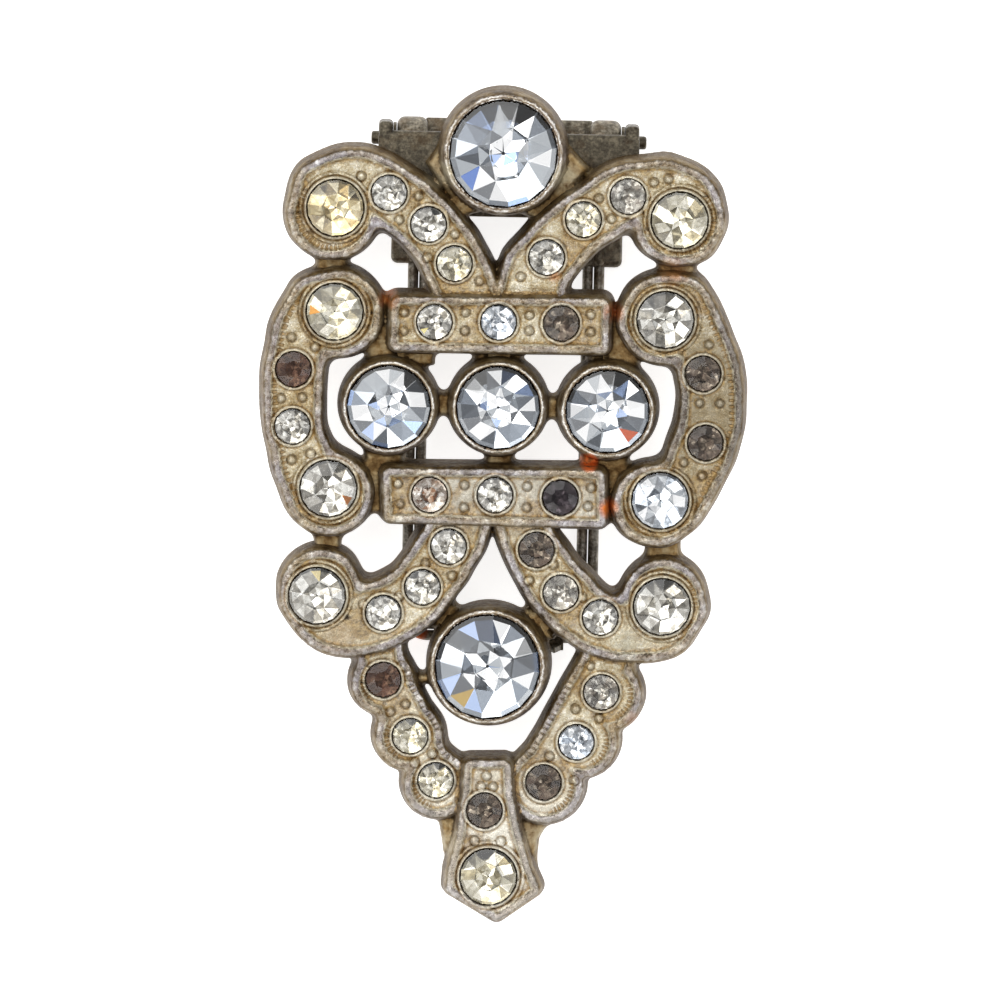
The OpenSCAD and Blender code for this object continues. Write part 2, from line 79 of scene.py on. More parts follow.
# Bands of the motifs, each a row of stations along its middle: x, y, half width
BANDS = {
    "upper_left": [
        (-14.2, 23.9, 1.65), (-12.7, 24.5, 1.8), (-11, 24.3, 2.15), (-9.3, 23.5, 2.25), (-7.5, 22.3, 2.25),
        (-5.7, 20.7, 2.2), (-4.3, 18.9, 2.2), (-3.2, 16.7, 2.3), (-2.8, 15.3, 2.45),
    ],
    "upper_right": [
        (13.8, 23.7, 1.65), (11.8, 24.4, 1.8), (9.9, 24.1, 2), (8.4, 23.4, 2.25), (7, 22.5, 2.2),
        (5.4, 21.3, 2.2), (3.7, 19.7, 2.25), (2.3, 17.8, 2.4), (1.7, 15.4, 2.5),
    ],
    "arm_left": [
        (-14.4, 15, 1.8), (-15.2, 13.3, 2), (-15.5, 11.5, 2.05), (-15.8, 9.6, 2.1), (-15.8, 7.5, 2.05),
        (-15.6, 5.4, 2.05), (-15.1, 3.6, 2.1), (-14.5, 1.7, 2.1), (-13.8, 0.1, 1.8),
    ],
    "arm_right": [
        (13.4, 15.7, 1.8), (14.2, 14, 1.95), (14.9, 12.2, 2.05), (15.4, 10.2, 2.25), (15.6, 8.1, 2.25),
        (15.4, 6, 2.25), (14.8, 4.1, 2.25), (14, 2.2, 2.15), (13.2, 0.4, 1.95), (12.2, -0.6, 1.8),
    ],
    "lower_left": [
        (-14.6, -7.3, 1.65), (-13.6, -8.8, 1.65), (-11.9, -9.2, 2.15), (-9.7, -8.6, 2.45), (-8, -7.9, 2.4),
        (-6.3, -6.7, 2.3), (-5.1, -5.1, 2.25), (-4.3, -3.8, 2.25), (-3.6, -2.6, 2.2), (-2.9, -0.3, 2.2),
    ],
    "lower_right": [
        (13.6, -7.7, 1.65), (12.5, -9, 1.9), (10.9, -9.2, 2.15), (8.9, -9, 2.25), (7.4, -8.6, 2.2),
        (5.9, -7.6, 2.2), (4.7, -6.4, 2.25), (3.6, -5.1, 2.15), (2.8, -3.8, 2.05), (2, -2.4, 1.9),
        (1.4, -0.6, 1.9),
    ],
    "v_left": [
        (-9, -10.9, 1.65), (-8.25, -13.4, 1.6), (-7.05, -15.7, 1.75), (-5.75, -18.1, 1.5),
        (-4.35, -20.4, 1.45),
    ],
    "v_right": [(8.25, -11.5, 1.85), (6.5, -14.3, 1.65), (5.1, -17, 1.65), (3.6, -19.5, 1.55)],
}

# Round ends and scallops of the motifs: x, y, radius
DISCS = {
    "upper_left": [(-13.1, 21.8, 3.3)],
    "upper_right": [(12.85, 21.85, 3.3)],
    "arm_left": [(-12.6, 14.3, 3.2), (-12.8, 0.7, 2.95)],
    "arm_right": [(11.9, 14.3, 3.25), (11.4, 0.4, 2.9)],
    "lower_left": [(-13.4, -6.4, 2.85)],
    "lower_right": [(12.3, -6.8, 3)],
    "v_left": [(-8.6, -13.5, 2.25), (-6.6, -17.5, 2.4), (-4.4, -21.1, 2.4)],
    "v_right": [(8.1, -14.1, 2.6), (6.4, -17.6, 2.6), (3.7, -21, 2.75)],
}

# Corners of the two bars and of the pointed tip: x, y
CORNERS = {
    "top_bar": [(-8.5, 15.6), (7.7, 15.8), (7.7, 11.8), (-8.5, 11.7)],
    "bottom_bar": [(-8.9, 2.7), (7.6, 2.9), (7.8, -1.3), (-8.7, -1.2)],
    "tip": [
        (-2.3, -19.2), (1, -19.1), (1.2, -21.6), (1.8, -24.3), (2.7, -27.2), (3.5, -28.9),
        (0.3, -31.2), (-3.5, -29), (-3.4, -27.5), (-2.8, -24.9), (-2.4, -21.7),
    ],
}

# Height of each motif's rim and each bezel's lip above the casting's back
HEIGHTS = {
    "upper_left": UPPER_H, "upper_right": UPPER_H, "arm_left": UPPER_H, "arm_right": UPPER_H,
    "lower_left": LOWER_H, "lower_right": LOWER_H, "v_left": V_H, "v_right": V_H,
    "top_bar": BAR_H, "bottom_bar": BAR_H, "tip": BAR_H,
    "bezel_left": MIDDLE_H, "bezel_middle": MIDDLE_H, "bezel_right": MIDDLE_H,
    "bezel_bottom": BOTTOM_H, "bezel_top": TOP_H,
}

# Bezels of the large stones: x, y, lip radius, stone diameter, shift of the foot along x
BEZELS = {
    "bezel_top": (-0.4, 26.6, 4.4, TOP_D, 0.0),
    "bezel_bottom": (-0.8, -12, 4.25, BOTTOM_D, 0.12),
    "bezel_left": (-8.6, 7.4, 3.4, MIDDLE_D, 0.0),
    "bezel_middle": (-0.4, 7.5, 3.4, MIDDLE_D, 0.0),
    "bezel_right": (7.8, 7.4, 3.45, MIDDLE_D, 0.0),
}

# Struts and webs between the motifs: x, y, width, height
STRUTS = [
    (-13.1, 18.2, 2.4, 3), (12.8, 18, 2.8, 3), (-13, -2.7, 2.1, 3), (12.2, -3, 2.7, 3),
    (-9, 13.9, 2.4, 3.6), (8.2, 13.3, 2.4, 3.2), (-9.3, 0.9, 2.4, 3.6), (8.1, 0.8, 2.4, 3.8),
    (-4.5, 7.5, 2, 1.9), (3.7, 7.4, 2, 1.9),
    (-8.9, 3.5, 3, 2), (-0.2, 3.6, 2.1, 2.2), (7.7, 3.6, 3.6, 2),
    (-7.8, 11.3, 5.2, 2), (-0.5, 11.4, 3.6, 2), (8.2, 11.4, 3.8, 2),
    (-5.5, -13.2, 2, 0.9),
]
WEBS = [
    [(-6.3, 25.6), (-5.2, 27), (-2.4, 24), (-2.2, 21.9), (-3.4, 21.6)],
    [(6.2, 25.4), (4.6, 27), (1.6, 24), (1.2, 21.8), (2.6, 21.5)],
    [(-5.3, -9.2), (-4.9, -7.6), (-3.2, -7.5), (-2.4, -8.4), (-4, -9.6)],
    [(1.6, -8.2), (2, -7.6), (3.4, -8.2), (4.3, -10.2), (3, -10)],
    [(-4.3, -23.6), (-3.8, -26.4), (-2, -26), (-2, -19), (-3.2, -19)],
    [(1, -19), (2.4, -19.2), (4.4, -23.4), (3.4, -25.2), (3.2, -27.2), (1, -26)],
]

# Grain beads: x, y
BEADS = {
    "upper_left": [(-11, 24.6), (-6.7, 23.2), (-8.1, 21.4), (-3.9, 20.4), (-5.9, 18.6), (-2, 16.9)],
    "upper_right": [(12, 24.9), (10.9, 24.6), (6.8, 23.3), (7.8, 21.8), (1.1, 17.3)],
    "arm_left": [(-14.2, 11.7), (-16, 12.4), (-16.7, 7.8), (-15.1, 7.9), (-15.8, 3.2), (-14.4, 3.7)],
    "arm_right": [(15.3, 12.5), (14.7, 8.1), (16.2, 8.1), (13.6, 3.6), (15, 2.6)],
    "top_bar": [
        (-7.6, 14.5), (-7.6, 13.1), (-3, 14.6), (-3, 13.2), (1.8, 14.5), (1.8, 13.3), (6.4, 14.6),
        (6.4, 13.3),
    ],
    "bottom_bar": [
        (-7.8, 1.6), (-7.6, 0.1), (-2.8, 1.6), (-2.8, -0.1), (1.9, 1.6), (1.9, 0), (6.7, 1.6), (6.5, 0.2),
    ],
    "tip": [(-0.7, -20.3), (-1.1, -21.1), (-0.2, -21.1), (-1.5, -25.2), (0.5, -25.2)],
    "lower_left": [(-5.6, -4.4), (-7.5, -6.9), (-10.2, -7.6), (-3.6, -5.3)],
    "lower_right": [(4, -4.3), (2.2, -5.5), (6.2, -6.7)],
    "v_left": [(-7.2, -12.2), (-6.9, -15.1), (-8, -15.7), (-6.1, -19.5), (-4.8, -18.8)],
    "v_right": [(5.9, -15.2), (7.7, -15.9), (6.9, -11.9), (4, -18.8), (5.9, -20.6)],
}

# Where a row of fine ticks lies just inside a rim: circles that hold it, x, y, radius
TICKS = {
    "upper_left": [(-15.6, 21.6, 2.6), (-14.2, 18.8, 2)],
    "upper_right": [(15.6, 21.4, 2.6), (14.6, 19, 2.2)],
    "arm_left": [(-16.6, 13, 2.6), (-17.8, 9, 3), (-17.6, 5.4, 2.6), (-16, 1.6, 2.4)],
    "arm_right": [(16.2, 13.4, 2.6), (17.6, 9.4, 3), (17.4, 5.6, 2.8), (15.6, 2, 2.4)],
    "lower_left": [(-15.8, -7.4, 2.4)],
    "lower_right": [(14.8, -7.8, 2.4)],
    "v_left": [(-10.4, -13.6, 1.6), (-8.4, -18.2, 1.7), (-6.2, -22.2, 1.7)],
    "v_right": [(10.2, -14.8, 1.8), (8.6, -18.6, 1.7), (5.8, -22.4, 1.8)],
}

# Where a rim is broken up into a row of tiny beads: circles that hold it, x, y, radius
BEADED = {
    "v_left": [(-6.1, -13.6, 1.5), (-4.7, -15.9, 1.5), (-3.4, -18.2, 1.3)],
    "v_right": [(5.2, -14, 1.4), (3.9, -16.4, 1.4), (2.7, -18.6, 1.1)],
}

# Round stones by diameter: name, x, y, motif, state
STONES_BY_SIZE = {
    TOP_D: [
        ("stone_top", -0.4, 26.6, "bezel_top", "clear"),
    ],
    BOTTOM_D: [
        ("stone_bottom", -0.8, -12, "bezel_bottom", "clear"),
    ],
    MIDDLE_D: [
        ("stone_middle_left", -8.6, 7.4, "bezel_left", "clear"),
        ("stone_middle", -0.4, 7.5, "bezel_middle", "clear"),
        ("stone_middle_right", 7.8, 7.4, "bezel_right", "clear"),
    ],
    MEDIUM_D: [
        ("stone_upper_scroll_left", -12.9, 22.2, "upper_left", "champagne"),
        ("stone_upper_scroll_right", 12.9, 21.8, "upper_right", "yellowed"),
        ("stone_arm_upper_left", -12.8, 14.4, "arm_left", "yellowed"),
        ("stone_arm_upper_right", 12, 14.3, "arm_right", "silvery"),
        ("stone_arm_lower_left", -13, 1.1, "arm_left", "silvery"),
        ("stone_arm_lower_right", 11.9, 0.7, "arm_right", "clear"),
        ("stone_lower_scroll_left", -13.7, -7, "lower_left", "silvery"),
        ("stone_lower_scroll_right", 12.2, -7.3, "lower_right", "silvery"),
        ("stone_tip", -0.4, -27.9, "tip", "yellowed"),
    ],
    SMALL_D: [
        ("stone_upper_left_1", -8.9, 23.4, "upper_left", "silvery"),
        ("stone_upper_left_2", -5.9, 21.1, "upper_left", "silvery"),
        ("stone_upper_left_3", -3.9, 18.2, "upper_left", "yellowed"),
        ("stone_upper_right_1", 9, 23.5, "upper_right", "grey"),
        ("stone_upper_right_2", 5.7, 21.7, "upper_right", "yellowed"),
        ("stone_upper_right_3", 3, 18.8, "upper_right", "silvery"),
        ("stone_top_bar_1", -5.3, 13.8, "top_bar", "silvery"),
        ("stone_top_bar_2", -0.5, 13.9, "top_bar", "clear"),
        ("stone_top_bar_3", 4.2, 13.9, "top_bar", "dark"),
        ("stone_bottom_bar_1", -5.4, 0.8, "bottom_bar", "ringed"),
        ("stone_bottom_bar_2", -0.5, 0.9, "bottom_bar", "silvery"),
        ("stone_bottom_bar_3", 4.4, 0.8, "bottom_bar", "black"),
        ("stone_side_left_1", -15.8, 10, "arm_left", "brown"),
        ("stone_side_left_2", -15.8, 5.7, "arm_left", "silvery"),
        ("stone_side_right_1", 14.9, 10.3, "arm_right", "dark"),
        ("stone_side_right_2", 15.2, 5.1, "arm_right", "dark"),
        ("stone_lower_left_1", -3.9, -3.1, "lower_left", "silvery"),
        ("stone_lower_left_2", -5.8, -6.2, "lower_left", "silvery"),
        ("stone_lower_left_3", -8.7, -8.2, "lower_left", "silvery"),
        ("stone_lower_right_1", 2.7, -3.2, "lower_right", "dark"),
        ("stone_lower_right_2", 4.6, -6.4, "lower_right", "grey"),
        ("stone_lower_right_3", 7.6, -8.2, "lower_right", "silvery"),
        ("stone_v_left_1", -8.6, -13.3, "v_left", "brown"),
        ("stone_v_left_2", -6.5, -17.5, "v_left", "yellowed"),
        ("stone_v_left_3", -4.5, -20.8, "v_left", "yellowed"),
        ("stone_v_right_1", 7.8, -13.9, "v_right", "grey"),
        ("stone_v_right_2", 6, -17.7, "v_right", "clear"),
        ("stone_v_right_3", 3.6, -20.8, "v_right", "dark"),
        ("stone_tip_small", -0.8, -22.9, "tip", "dark"),
    ],
}

# How far a stone's girdle lies below the rim round it, by diameter
DROPS = {TOP_D: 0.3, BOTTOM_D: 0.3, MIDDLE_D: 0.3, MEDIUM_D: 0.3, SMALL_D: 0.4}

# All stones: name, x, y, diameter, height of the girdle above the back, motif, state
STONES = [
    (name, x, y, d, HEIGHTS[home] - DROPS[d], home, state)
    for d, rows in STONES_BY_SIZE.items() for name, x, y, home, state in rows
]


# Flat shapes, as signed distances in millimetres that are negative inside


def smooth_min(a, b, k):
    """The lower of two fields, rounded over where they are within k of each other."""
    h = np.clip(k - np.abs(a - b), 0, None) / k
    return np.minimum(a, b) - h * h * k / 4


def smooth_max(a, b, k):
    return -smooth_min(-a, -b, k)


def radius(p, x, y):
    """Distance of points from a centre."""
    return np.hypot(p[:, 0] - x, p[:, 1] - y)


def crosses(p, a, b):
    """Whether a line from each point towards +X crosses the line from a to b."""
    if a[1] == b[1]:
        return np.zeros(len(p), bool)
    level = a[0] + (p[:, 1] - a[1]) / (b[1] - a[1]) * (b[0] - a[0])
    return ((a[1] > p[:, 1]) != (b[1] > p[:, 1])) & (p[:, 0] < level)


def curve_rows(stations, steps=5):
    """A smooth curve through the stations, as closer rows."""
    rows = np.array(stations, float)
    padded = np.vstack([rows[:1], rows, rows[-1:]])
    out = []
    for i in range(len(rows) - 1):
        a, b, c, d = padded[i:i + 4]
        for t in np.arange(steps) / steps:
            out.append(b + t * (c - a) / 2 + t * t * (a - 2.5 * b + 2 * c - d / 2)
                       + t ** 3 * (1.5 * (b - c) + (d - a) / 2))
    out.append(rows[-1])
    return np.array(out)


def band_distance(p, path):
    """Distance to a band along a path, and how far along the path the nearest point is."""
    best = np.full(len(p), 1e9)
    along = np.zeros(len(p))
    run = 0.0
    for (ax, ay, ar), (bx, by, br) in zip(path[:-1], path[1:]):
        dx, dy = bx - ax, by - ay
        length = math.hypot(dx, dy)
        t = np.clip(((p[:, 0] - ax) * dx + (p[:, 1] - ay) * dy) / length ** 2, 0, 1)
        d = np.hypot(p[:, 0] - ax - t * dx, p[:, 1] - ay - t * dy) - ar - t * (br - ar)
        near = d < best
        best = np.where(near, d, best)
        along = np.where(near, run + t * length, along)
        run += length
    return best, along


def polygon_distance(p, corners):
    """Distance to a polygon."""
    best = np.full(len(p), 1e9)
    inside = np.zeros(len(p), bool)
    for (ax, ay), (bx, by) in zip(corners, np.roll(corners, -1, axis=0)):
        dx, dy = bx - ax, by - ay
        t = np.clip(((p[:, 0] - ax) * dx + (p[:, 1] - ay) * dy) / (dx * dx + dy * dy), 0, 1)
        best = np.minimum(best, np.hypot(p[:, 0] - ax - t * dx, p[:, 1] - ay - t * dy))
        inside ^= crosses(p, (ax, ay), (bx, by))
    return np.where(inside, -best, best)


def shrunk(corners, inset):
    """A polygon's corners moved in by an inset."""
    pts = np.array(corners, float)
    turn = np.sum(pts[:, 0] * np.roll(pts[:, 1], -1) - pts[:, 1] * np.roll(pts[:, 0], -1))
    if turn < 0:
        pts = pts[::-1]
    out = []
    for prev, here, after in zip(np.roll(pts, 1, axis=0), pts, np.roll(pts, -1, axis=0)):
        e1 = (here - prev) / np.linalg.norm(here - prev)
        e2 = (after - here) / np.linalg.norm(after - here)
        n1, n2 = np.array([-e1[1], e1[0]]), np.array([-e2[1], e2[0]])
        out.append(here + inset * (n1 + n2) / (1 + n1 @ n2))
    return np.array(out)


def box_distance(p, x, y, w, h):
    dx, dy = np.abs(p[:, 0] - x) - w / 2, np.abs(p[:, 1] - y) - h / 2
    return np.hypot(np.maximum(dx, 0), np.maximum(dy, 0)) + np.minimum(np.maximum(dx, dy), 0)


PATHS = {name: curve_rows(stations) for name, stations in BANDS.items()}
INNER_CORNERS = {name: shrunk(corners, CORNER_R) for name, corners in CORNERS.items()}


def motif_distance(name, p):
    """Distance to a motif's rim outline, and a running length round it for its ticks."""
    if name in CORNERS:
        return polygon_distance(p, INNER_CORNERS[name]) - CORNER_R, np.zeros(len(p))
    best, along = band_distance(p, PATHS[name])
    blend, sway = (0.35, 0.02) if name in BEADED else (0.8, 0.05)
    for x, y, r in DISCS[name]:
        d = radius(p, x, y) - r
        angle = np.arctan2(p[:, 1] - y, p[:, 0] - x)
        along = np.where(d < best, angle * r, along)
        best = smooth_min(best, d, blend)
    return best + sway * waves(p, 1.8, 11), along


def waves(p, size, seed):
    """Smooth noise between about -1 and 1 whose lumps are about the given size."""
    rng = np.random.default_rng(seed)
    total = np.zeros(len(p))
    count = 14
    for turn, phase, stretch in rng.uniform(0, 1, (count, 3)):
        k = math.tau / (size * (1.2 + 1.6 * stretch))
        total += np.sin(k * (p[:, 0] * math.cos(math.tau * turn) + p[:, 1] * math.sin(math.tau * turn))
                        + math.tau * phase)
    return total * math.sqrt(2 / count) / 1.6


def step(x, low, high):
    """0 below low, 1 above high, smooth between."""
    t = np.clip((x - low) / (high - low), 0, 1)
    return t * t * (3 - 2 * t)


def hump(x, middle, half):
    """A round ridge: 1 at its middle and 0 from half away."""
    return np.sqrt(np.clip(1 - ((x - middle) / half) ** 2, 0, 1))


def wall(depth, height):
    """A cast wall outside a rim: depth is negative there and -DRAFT at its foot."""
    return height * (1 - np.clip(-depth / DRAFT, 0, 1) ** 2.4)


# How far a stone's seat lies below its girdle at the edge, and its slope towards the middle
SEAT_DROP = 0.35
SEAT_SLOPE = 0.3


def seat_height(p, x, y, d, girdle):
    """Floor of the hollow under a stone."""
    return girdle - SEAT_DROP - SEAT_SLOPE * (d / 2 - radius(p, x, y))


# Raised rings round the small and medium stones: distance from the stone, width, rise above the field
COLLARS = {SMALL_D: [(0.02, 0.28, 0.16)], MEDIUM_D: [(0.02, 0.26, 0.22), (0.36, 0.26, 0.14)]}


def masked(circles, p):
    """1 inside a group of circles, 0 outside, soft between."""
    mask = np.zeros(len(p))
    for x, y, r in circles:
        mask = np.maximum(mask, 1 - step(radius(p, x, y), r - 0.3, r))
    return mask


def motif_height(name, p):
    """Height of one motif above the back, -1 where it isn't, and the depth inside its rim."""
    rim_h = HEIGHTS[name]
    phi, along = motif_distance(name, p)
    depth = -phi
    floor = rim_h - FIELD_D + 0.03 * waves(p, 0.9, 3) + 0.015 * waves(p, 0.35, 4)
    rim = rim_h - 0.17 + 0.17 * hump(depth, 0.2, 0.3) + 0.03 * waves(p, 0.6, 5) + 0.02 * waves(p, 0.25, 9)
    tiny = masked(BEADED.get(name, ()), p) * (1 - np.abs(np.cos(math.pi * along / TINY_BEAD_PITCH))) ** 2
    rim = rim - 0.1 * tiny
    worn_in = depth + 0.05 * waves(p, 1.1, 13)
    top = np.where(worn_in < RIM_W, rim, rim + (floor - rim) * step(worn_in, RIM_W - 0.05, RIM_W + 0.22))
    ticks = 0.5 + 0.5 * np.cos(math.tau * along / TICK_PITCH)
    top = top + 0.06 * masked(TICKS.get(name, ()), p) * ticks * hump(depth, RIM_W + 0.28, 0.24)
    for x, y in BEADS[name]:
        r = radius(p, x, y)
        top = top - 0.08 * hump(r, BEAD_R + 0.07, 0.1)
        top = np.where(r < BEAD_R, np.maximum(top, floor - 0.05 + 0.3 * hump(r, 0, BEAD_R)), top)
    for _, x, y, d, _, home, _ in STONES:
        if home != name:
            continue
        out = radius(p, x, y) - d / 2
        for start, width, rise in COLLARS[d]:
            ridge = rim_h - FIELD_D + rise * hump(out, start + width / 2, width / 2)
            top = np.where(np.abs(out - start - width / 2) < width / 2, np.maximum(top, ridge), top)
            top = top - 0.06 * hump(out, start + width + 0.05, 0.08)
    foot = np.where(depth > -DRAFT, wall(depth, rim_h - 0.04 - 0.1 * tiny), -1.0)
    return np.where(depth < 0, foot, top), depth


def bezel_height(name, p):
    """Height of one bezel above the back, -1 where it isn't, and the depth inside its lip."""
    x, y, lip_r, d, shift = BEZELS[name]
    height = HEIGHTS[name]
    r = radius(p, x, y)
    slant = np.clip((r - lip_r) / DRAFT, 0, 1)
    foot = np.hypot(p[:, 0] - x - shift * slant, p[:, 1] - y)
    depth = lip_r - np.where(r > lip_r, foot, r)
    lip = height - 0.12 + 0.03 * waves(p, 0.7, 6)
    lip = lip + 0.12 * np.maximum(hump(depth, 0.1, 0.14), 0.8 * hump(depth, lip_r - d / 2 - 0.08, 0.1))
    return np.where(depth < 0, np.where(depth > -DRAFT, wall(depth, height - 0.08), -1.0), lip), depth


# The casting is drawn as two halves that meet under the bottom bar
UPPER = ["upper_left", "upper_right", "arm_left", "arm_right", "top_bar", "bottom_bar",
         "bezel_top", "bezel_left", "bezel_middle", "bezel_right"]
LOWER = ["lower_left", "lower_right", "v_left", "v_right", "tip", "bezel_bottom"]
SPLIT_Y = -2.2
STRUT_OVERLAP = 0.8


def shape_height(name, p):
    return bezel_height(name, p) if name in BEZELS else motif_height(name, p)


def struts_of(names):
    """The struts and webs that belong to one half of the casting."""
    upper = names is UPPER
    boxes = [s for s in STRUTS if (s[1] > SPLIT_Y - STRUT_OVERLAP) == upper]
    webs = [w for w in WEBS if (w[0][1] > SPLIT_Y) == upper]
    return boxes, webs


def ground_distance(names, p):
    """Distance to the outline of one half of the casting at its back."""
    boxes, webs = struts_of(names)
    best = np.full(len(p), 1e9)
    for name in names:
        if name in BEZELS:
            x, y, lip_r, _, shift = BEZELS[name]
            d = np.hypot(p[:, 0] - x - shift, p[:, 1] - y) - lip_r - DRAFT
        else:
            d = motif_distance(name, p)[0] - DRAFT
        best = smooth_min(best, d, 0.3)
    for x, y, w, h in boxes:
        best = smooth_min(best, box_distance(p, x, y, w, h), 0.5)
    for corners in webs:
        best = smooth_min(best, polygon_distance(p, corners), 0.4)
    return best


def surface(names, p):
    """Height of one half's front above the back, and facts about each point for its colour."""
    depth_in = -ground_distance(names, p)
    ground = WEB_T * np.sqrt(np.clip(1 - (1 - np.clip(depth_in / 0.42, 0, 1)) ** 2, 0, 1))
    ground = ground + 0.03 * waves(p, 1.1, 8) * step(depth_in, 0.1, 0.4)
    height = ground
    facts = {"depth": np.full(len(p), -1.0), "along": np.zeros(len(p)), "ticks": np.zeros(len(p)),
             "beaded": np.zeros(len(p)), "lip": np.zeros(len(p))}
    for name in names:
        h, depth = shape_height(name, p)
        at_foot = (facts["depth"] < -DRAFT) & (depth > -DRAFT - 0.08)
        facts["depth"] = np.where(at_foot, -DRAFT, facts["depth"])
        height = np.where(h > 0, smooth_max(height, h, 0.22), height)
        upper = (h > 0) & (h >= height - 0.12)
        facts["depth"] = np.where(upper, depth, facts["depth"])
        facts["lip"] = np.where(upper, float(name in BEZELS), facts["lip"])
        if name in TICKS:
            facts["along"] = np.where(upper, motif_distance(name, p)[1], facts["along"])
            facts["ticks"] = np.where(upper, masked(TICKS[name], p), facts["ticks"])
            facts["beaded"] = np.where(upper, masked(BEADED.get(name, ()), p), facts["beaded"])
    beyond = np.full(len(p), 1.0)
    for _, x, y, d, girdle, _, _ in STONES:
        out = radius(p, x, y) - d / 2
        height = np.where(out < 0, np.minimum(height, seat_height(p, x, y, d, girdle)), height)
        beyond = np.minimum(beyond, out)
    facts["beyond"] = beyond
    facts["bead"] = np.full(len(p), 1.0)
    for name in names:
        for x, y in BEADS.get(name, ()):
            facts["bead"] = np.minimum(facts["bead"], radius(p, x, y))
    return np.where(depth_in <= 0, 0.0, height), facts


# Points for the casting's mesh


def outlines(values, x0, y0, pitch, level):
    """Closed lines of a field on a grid at one level, as arrays of points."""
    f = values - level
    ny, nx = f.shape
    inside = f < 0
    ends = {}

    def crossing(i, j, i2, j2):
        t = f[i, j] / (f[i, j] - f[i2, j2])
        return x0 + pitch * (j + t * (j2 - j)), y0 + pitch * (i + t * (i2 - i))

    mixed = (inside[:-1, :-1].astype(int) + inside[1:, :-1] + inside[:-1, 1:] + inside[1:, 1:])
    for i, j in zip(*np.nonzero((mixed > 0) & (mixed < 4))):
        corner = [(i, j), (i, j + 1), (i + 1, j + 1), (i + 1, j)]
        cuts = []
        for a, b in ((0, 1), (1, 2), (2, 3), (3, 0)):
            if inside[corner[a]] != inside[corner[b]]:
                cuts.append(tuple(sorted((corner[a], corner[b]))))
        if len(cuts) == 4 and inside[corner[0]]:
            cuts = [cuts[3], cuts[0], cuts[1], cuts[2]]
        for a, b in zip(cuts[::2], cuts[1::2]):
            ends.setdefault(a, []).append(b)
            ends.setdefault(b, []).append(a)
    lines = []
    while ends:
        start = next(iter(ends))
        line, here = [start], start
        while True:
            after = ends[here].pop()
            ends[after].remove(here)
            if not ends[here]:
                del ends[here]
            if after == start or after not in ends or not ends[after]:
                if after != start:
                    line.append(after)
                if after in ends and not ends[after]:
                    del ends[after]
                break
            line.append(after)
            here = after
        lines.append(np.array([crossing(*a, *b) for a, b in line]))
    return lines


def respaced(line, spacing):
    """A closed line's points at an even spacing."""
    loop = np.vstack([line, line[:1]])
    run = np.concatenate([[0], np.cumsum(np.hypot(*np.diff(loop, axis=0).T))])
    count = max(8, int(round(run[-1] / spacing)))
    at = np.arange(count) / count * run[-1]
    return np.stack([np.interp(at, run, loop[:, 0]), np.interp(at, run, loop[:, 1])], axis=1)


def grid_points(low, high, pitch):
    xs = np.arange(low[0], high[0] + pitch, pitch)
    ys = np.arange(low[1], high[1] + pitch, pitch)
    gx, gy = np.meshgrid(xs, ys)
    return xs, ys, np.stack([gx.ravel(), gy.ravel()], axis=1)


def level_lines(distance, low, high, levels, spacing, pitch=0.12):
    """Points along a distance field's lines at several levels."""
    xs, ys, p = grid_points(low, high, pitch)
    values = distance(p).reshape(len(ys), len(xs))
    found = []
    for level in levels:
        for line in outlines(values, xs[0], ys[0], pitch, level):
            if len(line) > 6:
                found.append(respaced(line, spacing))
    return found


def hex_points(low, high, pitch):
    xs = np.arange(low[0], high[0], pitch)
    ys = np.arange(low[1], high[1], pitch * 0.866)
    gx, gy = np.meshgrid(xs, ys)
    gx[1::2] += pitch / 2
    return np.stack([gx.ravel(), gy.ravel()], axis=1)


class Sieve:
    """Keeps points that stand clear of those kept before."""

    def __init__(self, low, high, cell):
        self.low, self.cell = np.array(low), cell
        size = np.ceil((np.array(high) - low) / cell).astype(int) + 4
        self.taken = np.zeros(size, bool)
        self.kept = []

    def add(self, p, reach=1):
        if not len(p):
            return
        at = np.floor((p - self.low) / self.cell).astype(int) + 2
        at = np.clip(at, reach, np.array(self.taken.shape) - 1 - reach)
        free = ~self.taken[at[:, 0], at[:, 1]]
        p, at = p[free], at[free]
        _, first = np.unique(at[:, 0] * self.taken.shape[1] + at[:, 1], return_index=True)
        p, at = p[first], at[first]
        for i in range(-reach, reach + 1):
            for j in range(-reach, reach + 1):
                self.taken[at[:, 0] + i, at[:, 1] + j] = True
        self.kept.append(p)


def shape_box(name):
    """Low and high corner of one motif or bezel, with room for its walls."""
    if name in BEZELS:
        x, y, r = BEZELS[name][:3]
        rows = np.array([(x, y, r)])
    elif name in CORNERS:
        rows = np.array([(x, y, 0.0) for x, y in CORNERS[name]])
    else:
        rows = np.vstack([PATHS[name], DISCS[name]])
    reach = rows[:, 2:3] + 1.2
    return (rows[:, :2] - reach).min(axis=0), (rows[:, :2] + reach).max(axis=0)


# Where rows of mesh points run, as distances outside a motif's rim outline or the ground outline
WALL_LEVELS = (0.36, 0.24, 0.12, 0.03)
RIM_LEVELS = (-0.06, -0.22, -0.4, -0.47, -0.58, -0.69, -0.85)
GROUND_LEVELS = (-0.05, -0.14, -0.3, -0.45)

# Rings of mesh points, as distances outside a bezel's lip, or outside a large, small or medium stone
LIP_RINGS = (-0.19, -0.1, -0.03, 0.03, 0.12, 0.24, 0.36)
SEAT_RINGS = (-0.02, 0.03, 0.08, 0.14)
SMALL_RINGS = (-0.02, 0.03, 0.12, 0.22, 0.33, 0.4)
MEDIUM_RINGS = SMALL_RINGS + (0.48, 0.56, 0.66, 0.76)

# Rings of mesh points round a bead: radius, number of points
BEAD_RINGS = ((0.16, 8), (0.28, 12), (0.35, 16), (0.44, 16), (0.56, 16))

